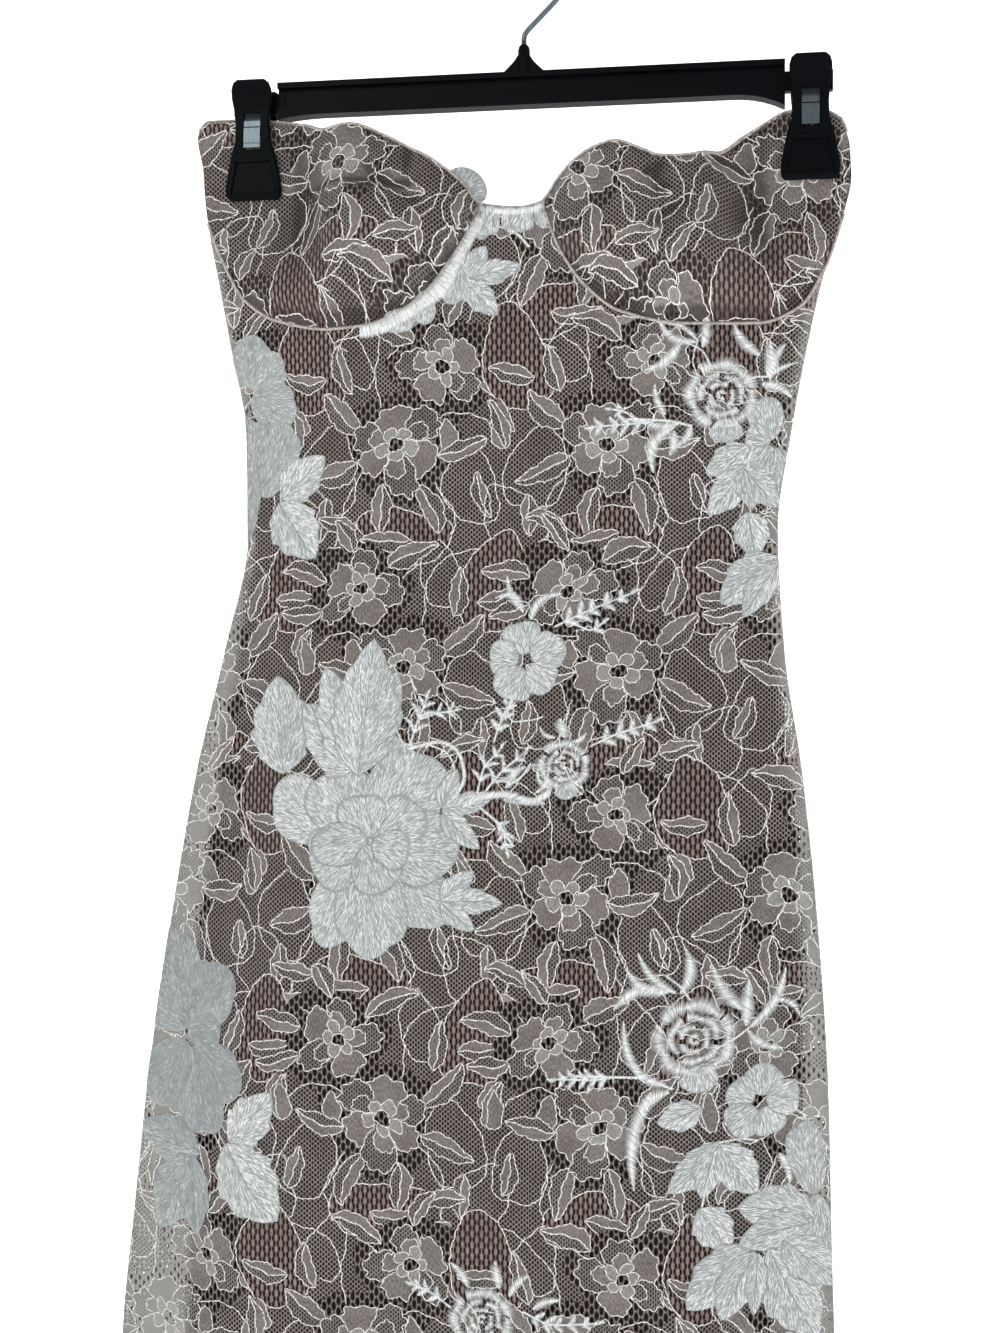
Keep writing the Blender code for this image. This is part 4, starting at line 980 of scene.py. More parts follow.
@dataclass
class Panel:
    """One flat stretch of lace: its outline in metres, its fields and its cords."""

    outline: np.ndarray
    offset: tuple[float, float] = (0.0, 0.0)
    patches: list[Patch] = field(default_factory=list)
    stems: list[np.ndarray] = field(default_factory=list)

    def lay(self) -> None:
        """Repeat the pattern over the panel: rows a repeat apart, every other one mirrored."""
        low, high = self.outline.min(axis=0) / MM, self.outline.max(axis=0) / MM
        middle, reach = (low + high) / 2, (high - low) / 2
        repeat, stems = repeat_patches(), [stem_line(knots) for knots in STEMS]
        for row, row_x in enumerate(ROW_X):
            mirror = 1 if row % 2 == 0 else -1
            z = FIRST_ROW_Z - REPEAT_Z * row + self.offset[1]
            for column in range(-2, 5):
                x = row_x + REPEAT_X * column + self.offset[0]
                if np.any(np.abs(middle - (x, z)) > reach + REPEAT_REACH):
                    continue
                for patch in repeat:
                    placed = patch.moved(mirror, x, z)
                    placed = replace(placed, outline=drift(placed.outline))
                    around = np.abs(placed.outline - middle) < reach + 1
                    if np.any(np.all(around, axis=1)):
                        self.patches.append(placed)
                self.stems += [drift(line * (mirror, 1) + (x, z)) for line in stems]

    def cords(self, step: float) -> list[np.ndarray]:
        """The cords that show: each outline and stem, less what later fields cover.

        Args:
            step: distance between points, in millimetres.

        Returns:
            Lines in millimetres, each one unbroken stretch.
        """
        centres = np.array([p.outline.mean(axis=0) for p in self.patches])
        sizes = np.array([np.max(np.hypot(*(p.outline - c).T))
                          for p, c in zip(self.patches, centres)])
        shrunk = [c + (p.outline - c) * COVER_SHARE for p, c in zip(self.patches, centres)]
        lines = [(i, spaced(p.outline, step, True)) for i, p in enumerate(self.patches) if p.corded]
        lines = [(i, np.concatenate([line, line[:1]])) for i, line in lines]
        lines += [(None, spaced(line, step, False)) for line in self.stems]
        edge = self.outline / MM
        shown = []
        for order, line in lines:
            middle = line.mean(axis=0)
            reach = np.max(np.hypot(*(line - middle).T))
            close = np.hypot(*(centres - middle).T) < sizes + reach
            keep = inside(edge, line)
            for k in np.flatnonzero(close):
                covers = self.patches[k].corded if order is None else k > order
                if covers and self.patches[k].fill is not Fill.FINE:
                    keep &= ~inside(shrunk[k], line)
            breaks = np.flatnonzero(np.diff(keep.astype(int))) + 1
            for part, kept in zip(np.split(line, breaks), np.split(keep, breaks)):
                if kept[0] and len(part) > 3:
                    shown.append(part)
        return shown

    def mesh(self, step: float, ground: float) -> tuple[np.ndarray, np.ndarray, np.ndarray]:
        """Cut the panel along its fields and give its triangles.

        A constrained triangulation of the panel's outline, every field's outline and an even
        grid of ground points; each triangle takes the fill of the last field that holds it.

        Args:
            step: distance between points on the fields' outlines, in millimetres.
            ground: distance between ground points, in millimetres.

        Returns:
            Points in metres, triangles, and each triangle's fill.
        """
        edge = self.outline / MM
        low, high = edge.min(axis=0), edge.max(axis=0)
        shapes = [edge] + [spaced(p.outline, step, True) for p in self.patches]
        shapes = [leftward(shape) for shape in shapes]
        x, z = np.meshgrid(np.arange(low[0], high[0], ground), np.arange(low[1], high[1], ground))
        loose = np.stack([x.ravel(), z.ravel()], axis=-1)
        points = np.concatenate(shapes + [loose[inside(edge, loose)]])
        starts = np.cumsum([0] + [len(s) for s in shapes])
        rings = [list(range(a, b)) for a, b in zip(starts, starts[1:])]
        found = delaunay_2d_cdt([tuple(p) for p in points.tolist()], [], rings, 0, 1e-3, True)
        fills = np.array([Fill.FINE.value] + [p.fill.value for p in self.patches])
        kept = [(face, max(owners)) for face, owners in zip(found[2], found[5]) if 0 in owners]
        faces = np.array([face for face, _ in kept])
        used, numbers = np.unique(faces, return_inverse=True)
        spots = np.array([tuple(v) for v in found[0]])[used] * MM
        return spots, numbers.reshape(-1, 3), fills[[owner for _, owner in kept]]


# Lengths of a cord's two waves, and the shift from one cord to the next
SHORT_WAVE = 3.4
LONG_WAVE = 5.3
WAVE_PHASE = 1.7


def ribbons(name: str, lines: list[np.ndarray], place: Place, material: bpy.types.Material,
            half_width: float, height: float, lift: float, wobble: float = 0.0,
            flat: bool = False) -> bpy.types.Object:
    """Cords laid along flat lines: a low ridge, or a flat band, carried along each line.

    Each line is waved sideways by two sines of its own length; a point and its left and right
    edges, a half width away along the line's normal, are placed on the cloth.

    Args:
        name: the piece's name.
        lines: lines in millimetres.
        place: puts a flat place, moved out by a distance, on the cloth.
        material: the cord's material.
        half_width: half the cord's width, in metres.
        height: the ridge's height over its edges, in metres.
        lift: the edges' distance from the cloth, in metres.
        wobble: how far the cord waves to each side, in millimetres.
        flat: a band of two edges without the ridge.

    Returns:
        The new object.
    """
    points, uvs, faces, count = [], [], [], 0
    for number, line in enumerate(lines):
        tangent = np.gradient(line, axis=0)
        tangent /= np.maximum(np.hypot(*tangent.T), 1e-9)[:, None]
        normal = np.stack([-tangent[:, 1], tangent[:, 0]], axis=-1)
        run = np.concatenate([[0.0], np.cumsum(np.hypot(*np.diff(line, axis=0).T))])
        phase = WAVE_PHASE * number
        swing = wobble * (np.sin(2 * pi * run / SHORT_WAVE + phase)
                          + 0.5 * np.sin(2 * pi * run / LONG_WAVE + phase))
        centre = (line + normal * swing[:, None]) * MM
        offsets = (-1, 1) if flat else (-1, 0, 1)
        for side in offsets:
            spot = centre + normal * half_width * side
            points.append(place(spot[:, 0], spot[:, 1], lift + (0 if side else height)))
            uvs.append(np.stack([run * MM, np.full(len(run), side * half_width)], axis=-1))
        faces.append(grid_faces(len(offsets), len(line), count))
        count += len(offsets) * len(line)
    made = np.concatenate(points)
    corners = np.concatenate(faces)
    if np.mean(made[:, 1]) > 0:
        corners = corners[:, ::-1]
    return build(name, made, corners, [material], uv=np.concatenate(uvs))


def wall(name: str, outer: np.ndarray, inner: np.ndarray, material: bpy.types.Material,
         uv: np.ndarray) -> bpy.types.Object:
    """A closed wall between an outer and an inner grid of points.

    Args:
        name: the piece's name.
        outer: points of the outer side, rows by columns.
        inner: points of the inner side, of the same shape.
        material: the wall's material.
        uv: flat places of the grid's points, used on both sides.

    Returns:
        The new object, its faces pointing out.
    """
    rows, columns = outer.shape[:2]
    numbers = np.arange(rows * columns).reshape(rows, columns)
    ring = np.concatenate([numbers[0], numbers[1:, -1], numbers[-1, -2::-1], numbers[-2:0:-1, 0]])
    after = np.roll(ring, -1)
    step = rows * columns
    rim = np.stack([after, ring, ring + step, after + step], axis=-1)
    front = grid_faces(rows, columns)
    faces = np.concatenate([front, front[:, ::-1] + step, rim])
    points = np.concatenate([outer.reshape(-1, 3), inner.reshape(-1, 3)])
    around = outer.reshape(-1, 3).mean(axis=0) - inner.reshape(-1, 3).mean(axis=0)
    if np.sum(grid_normals(outer).reshape(-1, 3).mean(axis=0) * around) > 0:
        faces = faces[:, ::-1]
    return build(name, points, faces, [material], uv=np.concatenate([uv.reshape(-1, 2)] * 2))


def tube(name: str, line: np.ndarray, radius: "float | np.ndarray", sides: int,
         material: bpy.types.Material) -> bpy.types.Object:
    """A round bead carried along a line in space, closed at both ends.

    A ring of the radius stands square to the line at each point; its first direction is the one
    nearest to the front.

    Args:
        name: the piece's name.
        line: points of the centre line.
        radius: the bead's radius, one value or one for each point.
        sides: points round it.
        material: the bead's material.

    Returns:
        The new object.
    """
    tangent = np.gradient(line, axis=0)
    tangent /= np.linalg.norm(tangent, axis=1, keepdims=True)
    forward = np.array([0.0, -1.0, 0.0]) - tangent * (-tangent[:, 1:2])
    forward /= np.linalg.norm(forward, axis=1, keepdims=True)
    across = np.cross(tangent, forward)
    angle = np.linspace(0, 2 * pi, sides, endpoint=False)
    size = np.broadcast_to(radius, len(line))[:, None, None]
    grid = line[:, None] + size * (across[:, None] * np.cos(angle)[:, None]
                                   + forward[:, None] * np.sin(angle)[:, None])
    rows = len(line)
    faces = grid_faces(rows, sides, around=True)
    ends = []
    for first, turn in ((0, 1), ((rows - 1) * sides, -1)):
        ring = first + np.arange(sides)[::turn]
        half = sides // 2
        ends += [(ring[k], ring[k + 1], ring[sides - 2 - k], ring[sides - 1 - k])
                 for k in range(half - 1)]
    run = np.concatenate([[0.0], np.cumsum(np.linalg.norm(np.diff(line, axis=0), axis=1))])
    uv = np.stack([np.repeat(run, sides), np.tile(angle, rows) * MM], axis=-1)
    return build(name, grid.reshape(-1, 3), np.concatenate([faces, np.array(ends)])[:, ::-1],
                 [material], uv=uv)


# Cloth

@dataclass(frozen=True)
class KnitFinish:
    """The soft fine knit of the lining: partly its own brown, partly painted shade, darkened well below the
    real taupe so that the lace's holes look shadowed.
    """

    # Painted shade: both tones are far darker than the real lining, for the shadow in the lace's holes
    dark: tuple = linear(25, 18, 16)
    light: tuple = linear(50, 37, 34)
    rib: tuple[float, float, float] = (1400.0, 260.0, 0.0)

    def make(self) -> bpy.types.Material:
        """The material: mottled yarn with a faint vertical rib."""
        material, w, shader = new_material("lining_knit", 0.9, sheen=0.15)
        tone = w.add("Group", {"node_tree": GROUPS.yarn}, Flat=w.flat(), Rib=self.rib,
                     Dark=self.dark, Light=self.light).outputs
        w.coat(shader, tone["Color"], tone["Relief"], 0.35, 0.0002)
        return material


@dataclass(frozen=True)
class CordFinish:
    """Twisted yarn: the lace's cords, its bindings and its sewing."""

    name: str
    dark: tuple
    light: tuple
    twist: float = 0.0011

    def make(self) -> bpy.types.Material:
        """The material: two tones wound round the cord at a slant, with a little relief."""
        material, w, shader = new_material(self.name, 0.75)
        flat = w.flat()
        parts = w.add("SeparateXYZ", in_0=flat).outputs
        slant = w.math("ADD", parts["X"], parts["Y"])
        turn = w.math("SINE", w.math("MULTIPLY", slant, 2 * pi / self.twist))
        patchy = w.noise(flat, 420.0, 1.0, FLAT_NOISE)
        share = w.math("ADD", w.math("MULTIPLY", turn, 0.25), w.steps(patchy, 0.30, 0.66))
        w.coat(shader, w.blend(share, self.dark, self.light), share, 0.4, 0.0001)
        return material


@dataclass(frozen=True)
class SatinFinish:
    """White embroidery thread with a soft sheen; each stitch has its own shade."""

    name: str
    dark: tuple
    light: tuple

    def make(self) -> bpy.types.Material:
        """The material: the stitch's own shade, clouded a little across the motif."""
        material, w, shader = new_material(self.name, 0.55, sheen=0.1)
        shade = w.add("Attribute", {"attribute_name": "shade"}).outputs["Fac"]
        cloud = w.noise(w.add("TexCoord").outputs["Object"], 160.0)
        share = w.math("ADD", w.math("MULTIPLY", shade, 0.9), w.math("MULTIPLY", cloud, 0.2))
        w.tree.links.new(w.blend(share, self.dark, self.light), shader.inputs["Base Color"])
        return material


@dataclass
class Cloth:
    """The dress's sewn cloth: lace panels, cups, lining, edges and seams."""

    outline_step: float = 2.2
    back_outline_step: float = 3.0
    ground: float = 5.5
    cord_step: float = 1.6
    back_cord_step: float = 2.0
    cup_ground: float = 2.2
    cord_half: float = 0.00031
    cord_height: float = 0.00028
    cord_lift: float = 0.00006
    cord_wobble: float = 0.26
    # Crease depth at which the cup lace takes its full painted shade
    full_crease_shade: float = 0.00022
    net_depth: float = 0.0008
    lining_wall: float = 0.0008
    lining_drop: float = 0.0016
    wire_clear: float = 0.0006
    side_points: int = 220
    nets: list = field(default_factory=lambda: [net.make() for net in NETS])
    cord: bpy.types.Material = field(default_factory=CordFinish(
        "lace_cord", linear(176, 169, 164), linear(255, 254, 251)).make)
    knit: bpy.types.Material = field(default_factory=KnitFinish().make)
    binding: bpy.types.Material = field(default_factory=CordFinish(
        "edge_binding", linear(150, 141, 135), linear(188, 181, 175), 0.0016).make)

    def tube_grid(self, top_of: Callable, bottom: float, rows: int, columns: int,
                  lining: bool = False) -> tuple[np.ndarray, np.ndarray]:
        """Flat places over the tube, from a top edge down: its columns settle on its sloping sides.

        Args:
            top_of: height of the top edge at X.
            bottom: height of the last row.
            rows: rows from top to bottom, closer together at the top.
            columns: places across, closer together at the sides.
            lining: whether it ends at the lining's narrower sides.

        Returns:
            X and Z of each place.
        """
        share = np.linspace(0, 1, columns)
        share = share - 0.55 * np.sin(2 * pi * share) / (2 * pi)
        down = np.linspace(0, 1, rows)[:, None] ** 1.2
        z = np.full((rows, columns), -0.2)
        for _ in range(SETTLE_PASSES):
            left, right = TUBE.edge("left", z[:, :1]), TUBE.edge("right", z[:, -1:])
            if lining:
                left = left + TUBE.edge("lining_in_left", z[:, :1])
                right = right - TUBE.edge("lining_in_right", z[:, -1:])
            x = left + (right - left) * share
            top = top_of(x)
            z = top + (bottom - top) * down
        return x, z

    def declare(self, piece: bpy.types.Object, grid: np.ndarray) -> None:
        """Report a cloth piece's flat size of its cut, measured along the hung cloth, in the log.

        Args:
            piece: the cloth.
            grid: places over it, in rows and columns.
        """
        width = np.linalg.norm(np.diff(grid, axis=1), axis=-1).sum(axis=1).max()
        length = np.linalg.norm(np.diff(grid, axis=0), axis=-1).sum(axis=0).max()
        sides = np.cross(grid[1:, :-1] - grid[:-1, :-1], grid[:-1, 1:] - grid[:-1, :-1])
        area = min(np.linalg.norm(sides, axis=-1).sum(), width * length)
        log.info("%s: cut %.3f by %.3f m, %.4f square metres", piece.name, width, length, area)

    def side_edge(self, top: float, name: str) -> np.ndarray:
        """The tube's side at even heights from the top one down to the hem, as flat points."""
        z = np.linspace(top, HEM, self.side_points)
        return np.stack([TUBE.edge(name, z), z], axis=-1)

    def meeting(self, line: Callable, name: str, start: float) -> float:
        """Where an edge line meets a side seam: X settles where both agree."""
        x = start
        for _ in range(MEET_PASSES):
            x = float(TUBE.edge(name, line(np.array(x))))
        return x

    def panel_outline(self, top: Callable, left: np.ndarray | None, right: np.ndarray | None,
                      across: tuple[float, float]) -> np.ndarray:
        """A panel's outline: its top edge, then down its right side and up its left.

        Args:
            top: height of the top edge at X.
            left: the left side from the top down, or None for the tube's own side.
            right: the right side from the top down, or None for the tube's own side.
            across: X where the top edge starts and ends.

        Returns:
            Points round the panel, in metres.
        """
        gore = np.array([WIRE_LEFT[-1][0], WIRE_RIGHT[0][0]])
        corners = np.concatenate([gore, gore + GORE_RISE, gore - GORE_RISE])
        corners = corners[(corners > across[0]) & (corners < across[1])]
        x = np.union1d(np.linspace(*across, 140), corners)
        upper = np.stack([x, top(x)], axis=-1)
        if right is None:
            right = self.side_edge(upper[-1, 1], "right")
        if left is None:
            left = self.side_edge(upper[0, 1], "left")
        hem_x = np.linspace(right[-1, 0], left[-1, 0], 80)[1:-1]
        hem = np.stack([hem_x, np.full(len(hem_x), HEM)], axis=-1)
        return np.concatenate([upper, right[1:], hem, left[:0:-1]])

    def lay_panel(self, name: str, panel: Panel, place: Place, nodes: tuple[str, ...],
                  cord_step: float, plain: bool) -> tuple[bpy.types.Object, bpy.types.Object]:
        """Make a panel's cut lace and its cords.

        Args:
            name: the piece's name.
            panel: the flat panel.
            place: puts a flat place on the cloth.
            nodes: the solids that it stands for.
            cord_step: distance between points along the cords, in millimetres.
            plain: whether the cords are plain bands without a ridge.

        Returns:
            The lace and its cords.
        """
        panel.lay()
        cup = name.startswith("cup")
        step = self.back_outline_step if plain else self.outline_step
        points, faces, choice = panel.mesh(step, self.cup_ground if cup else self.ground)
        placed = place(points[:, 0], points[:, 1], 0.0)
        # Painted light: on the cups, painted shade in the creases, below 0; elsewhere the share of bare
        # lace, which is painted paler as if lit from behind
        shade = -self.creases(points, place) if cup else TUBE.bare(points[:, 0], points[:, 1])
        if np.mean(placed[:, 1]) > 0:
            faces = faces[:, ::-1]
        sheet = build(name, placed, faces, self.nets, uv=points, choice=choice, shade=shade)
        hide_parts(*nodes)
        cords = ribbons(name + "_cords", panel.cords(cord_step), place, self.cord, self.cord_half,
                        self.cord_height, self.cord_lift, self.cord_wobble, flat=plain)
        return sheet, cords

    def creases(self, points: np.ndarray, place: Place, step: float = 0.0028) -> np.ndarray:
        """How far each place lies in a crease, which sets its painted crease shade: its depth behind the
        mean of four neighbours.

        Args:
            points: flat places.
            place: puts a flat place on the cloth.
            step: distance to the neighbours, in metres.

        Returns:
            0 on flat or rounded cloth, up to 1 in a sharp crease.
        """
        x, z = points[:, 0], points[:, 1]
        near = [place(x + dx, z + dz, 0.0)[:, 1] for dx, dz in
                ((step, 0), (-step, 0), (0, step), (0, -step))]
        return np.clip((place(x, z, 0.0)[:, 1] - np.mean(near, axis=0)) / self.full_crease_shade, 0, 1)

    def build_front(self) -> tuple[bpy.types.Object, bpy.types.Object]:
        """The front lace, from the underwires and the gore down to the hem, and its cords."""
        left, right = self.meeting(TUBE.wire, "left", -0.196), self.meeting(TUBE.wire, "right", 0.186)
        panel = Panel(self.panel_outline(TUBE.wire, None, None, (left, right)))
        return self.lay_panel("lace_front_net", panel, TUBE.front, ("lace_front",), self.cord_step, False)

    def build_backs(self) -> None:
        """The back lace: two panels that meet at the centre-back seam."""
        z = np.linspace(-0.168, HEM, self.side_points)
        middle = (TUBE.edge("left", z) + TUBE.edge("right", z)) / 2
        for side, sign in (("left", -1), ("right", 1)):
            seam = np.stack([middle + sign * SEAM_GAP / 2, z], axis=-1)
            seam[0, 1] = TUBE.back_top(seam[0, 0])
            outer = self.meeting(TUBE.back_top, side, sign * 0.19)
            if side == "left":
                outline = self.panel_outline(TUBE.back_top, None, seam, (outer, seam[0, 0]))
            else:
                outline = self.panel_outline(TUBE.back_top, seam, None, (seam[0, 0], outer))
            panel = Panel(outline, (38.0, -24.0))
            net, cords = self.lay_panel(f"lace_back_{side}_net", panel, TUBE.back,
                                        ("lace_back_" + side,), self.back_cord_step, True)
            whole = TUBE.back(*self.tube_grid(TUBE.back_top, HEM, 60, 81))
            half = slice(None, 41) if side == "left" else slice(40, None)
            self.declare(net, whole[:, half])

    def cup_grid(self, side: str, rows: int, columns: int) -> tuple[np.ndarray, np.ndarray]:
        """Flat places over a cup, from its top edge to just above its underwire.

        Args:
            side: left or right.
            rows: rows from top to bottom.
            columns: places across.

        Returns:
            X and Z of each place.
        """
        inner = WIRE_LEFT[-1][0] - SEAM_GAP if side == "left" else WIRE_RIGHT[0][0] + SEAM_GAP
        share = np.linspace(0, 1, columns)
        share = share ** 1.5 if side == "left" else 1 - (1 - share) ** 1.5
        down = np.linspace(0, 1, rows)[:, None]
        z = np.full((rows, columns), -0.13)
        for _ in range(SETTLE_PASSES):
            if side == "left":
                edge = TUBE.edge("left", z[:, 0])[:, None]
                x = edge + (inner - edge) * share
            else:
                edge = TUBE.edge("right", z[:, -1])[:, None]
                x = inner + (edge - inner) * share
            slope = (TUBE.wire(x + 0.001) - TUBE.wire(x - 0.001)) / 0.002
            lower = TUBE.wire(x) + np.minimum(self.wire_clear * np.sqrt(1 + slope ** 2), 0.002)
            upper = TUBE.neck(x)
            z = upper + (lower - upper) * down
        return x, z

    def build_cups(self) -> None:
        """Both cups: corded lace over a knit-covered bust cup."""
        for side in ("left", "right"):
            def place(x: np.ndarray, z: np.ndarray, out: "float | np.ndarray" = 0.0,
                      side: str = side) -> np.ndarray:
                return TUBE.cup(x, z, side, out)

            x, z = self.cup_grid(side, 50, 92)
            ring = np.concatenate([np.stack([x[0], z[0]], -1), np.stack([x[1:, -1], z[1:, -1]], -1),
                                   np.stack([x[-1, -2::-1], z[-1, -2::-1]], -1),
                                   np.stack([x[-2:0:-1, 0], z[-2:0:-1, 0]], -1)])
            offset = (-6.0, 34.0) if side == "left" else (8.0, 26.0)
            net, cords = self.lay_panel(f"cup_{side}_net", Panel(ring, offset), place,
                                        ("cup_" + side,), self.cord_step, False)
            self.declare(net, TUBE.cup(x, z, side, 0.0))
            outer = TUBE.cup(x, z, side, -self.net_depth)
            inner = outer + grid_normals(outer) * (CUP_WALL - self.net_depth) * self.inward(outer)
            inner[:, :, 1] = -np.maximum(-inner[:, :, 1], MIDDLE_CLEAR)
            body = wall(f"cup_{side}_body", outer, inner, self.knit, np.stack([x, z], axis=-1))
            self.declare(body, outer)

    def inward(self, grid: np.ndarray) -> float:
        """1 where a grid's normals already point at the tube's middle, -1 where they point away."""
        return 1.0 if np.mean(grid_normals(grid)[..., 1] * grid[..., 1]) < 0 else -1.0

    def build_linings(self) -> None:
        """Front and back lining, a narrower slip inside the lace."""
        for face, sign, top_of in ((Face.FRONT, -1, TUBE.wire), (Face.BACK, 1, TUBE.back_top)):
            x, z = self.tube_grid(lambda x, top_of=top_of: top_of(x) - self.lining_drop,
                                  LINING_HEM, 92, 60, True)
            depth = np.maximum(TUBE.lining_depth(x, z, face), 0.0002)
            outer = np.stack([x, sign * depth, z], axis=-1)
            inner = outer + grid_normals(outer) * self.lining_wall * self.inward(outer)
            inner[..., 1] = sign * np.maximum(sign * inner[..., 1], MIDDLE_CLEAR)
            lining = wall(f"lining_{face.value}_knit", outer, inner, self.knit, np.stack([x, z], axis=-1))
            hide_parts("lining_" + face.value)
            self.declare(lining, outer)

    def bead(self, name: str, x: np.ndarray, y: np.ndarray, z: np.ndarray, radius: float,
             sides: int = 8) -> bpy.types.Object:
        """A bound or stitched edge: a round bead of binding, in the lace's slot.

        Args:
            name: the piece's name.
            x: places across.
            y: places from front to back.
            z: heights.
            radius: the bead's radius.
            sides: its sides around.

        Returns:
            The bead.
        """
        bead = tube(name, np.stack([x, y, z], axis=-1), radius, sides, self.binding)
        return bead

    def build_edges(self) -> list[bpy.types.Object]:
        """The bound top edges, the seams of cups, gore and sides, and the narrow rolled hem."""
        ends = [self.meeting(TUBE.neck, "left", -0.2), self.meeting(TUBE.neck, "right", 0.186)]
        x = np.linspace(ends[0] + 0.002, ends[1] - 0.002, 260)
        z = TUBE.neck(x)
        bulge = np.where(x < -0.006, TUBE.bulge(x, z - 0.0006, "left"), TUBE.bulge(x, z - 0.0006, "right"))
        y = -TUBE.depth(x, z, Face.FRONT) - bulge + CUP_WALL / 2
        made = [self.bead("edge_front_top", x, np.minimum(y, -0.0004), z, 0.00115, 10)]
        ends = [self.meeting(TUBE.back_top, "left", -0.2), self.meeting(TUBE.back_top, "right", 0.186)]
        x = np.linspace(ends[0] + 0.002, ends[1] - 0.002, 200)
        z = TUBE.back_top(x)
        y = TUBE.depth(x, z, Face.BACK) - LACE_WALL / 2
        made.append(self.bead("edge_back_top", x, np.maximum(y, 0.0006), z, 0.0009, 10))
        for side, wire in (("left", WIRE_LEFT), ("right", WIRE_RIGHT)):
            x = np.linspace(wire[0][0] + 0.0010, wire[-1][0] - 0.0010, 160)
            z = TUBE.wire(x)
            y = -TUBE.depth(x, z, Face.FRONT) - 0.0002
            made.append(self.bead(f"seam_cup_{side}", x, y, z, 0.0009))
        for side, across in (("left", WIRE_LEFT[-1][0] + 0.0004), ("right", WIRE_RIGHT[0][0] - 0.0004)):
            z = np.linspace(-0.1655, float(TUBE.neck(np.array(across))) - 0.0006, 12)
            x = np.full(12, across)
            made.append(self.bead(f"seam_gore_{side}", x, -TUBE.depth(x, z, Face.FRONT) - 0.0006, z, 0.0012))
        for side, sign, top in (("left", 1, -0.112), ("right", -1, -0.130)):
            z = np.linspace(top, HEM + 0.001, self.side_points)
            x = TUBE.edge(side, z) + sign * 0.0007
            made.append(self.bead(f"seam_side_{side}", x, 0 * z, z, 0.0007))
        x = np.linspace(TUBE.edge("left", HEM) + 0.001, TUBE.edge("right", HEM) - 0.001, 180)
        for face, sign in ((Face.FRONT, -1), (Face.BACK, 1)):
            z = np.full(180, HEM + 0.0009)
            y = sign * (TUBE.depth(x, z, face) - LACE_WALL / 2)
            made.append(self.bead(f"hem_{face.value}", x, y, z, 0.0009))
        return made


# Embroidery

# Rings of a field's padding, as shares of the way from its middle to its edge
PAD_RINGS = np.array([0.02, 0.35, 0.65, 0.85, 0.95, 1.0])[:, None, None]
# Shade of the padding: painted dark, to stand for the shade and the net that show in the slits between
# petals
PAD_SHADOW_TONE = 0.05
PAD_SUNK = 0.10
DOME_WIDTH = 3.2
DOME_HEIGHT = 0.55
TONE_SPREAD = 0.26
# A stitch's ridge: its least rise, its rise for each millimetre of length, its greatest rise,
# and how far its sides lie below its crown
STITCH_RISE = 0.10
LENGTH_RISE = 0.05
TOP_RISE = 0.42
SIDE_DROP = 0.12


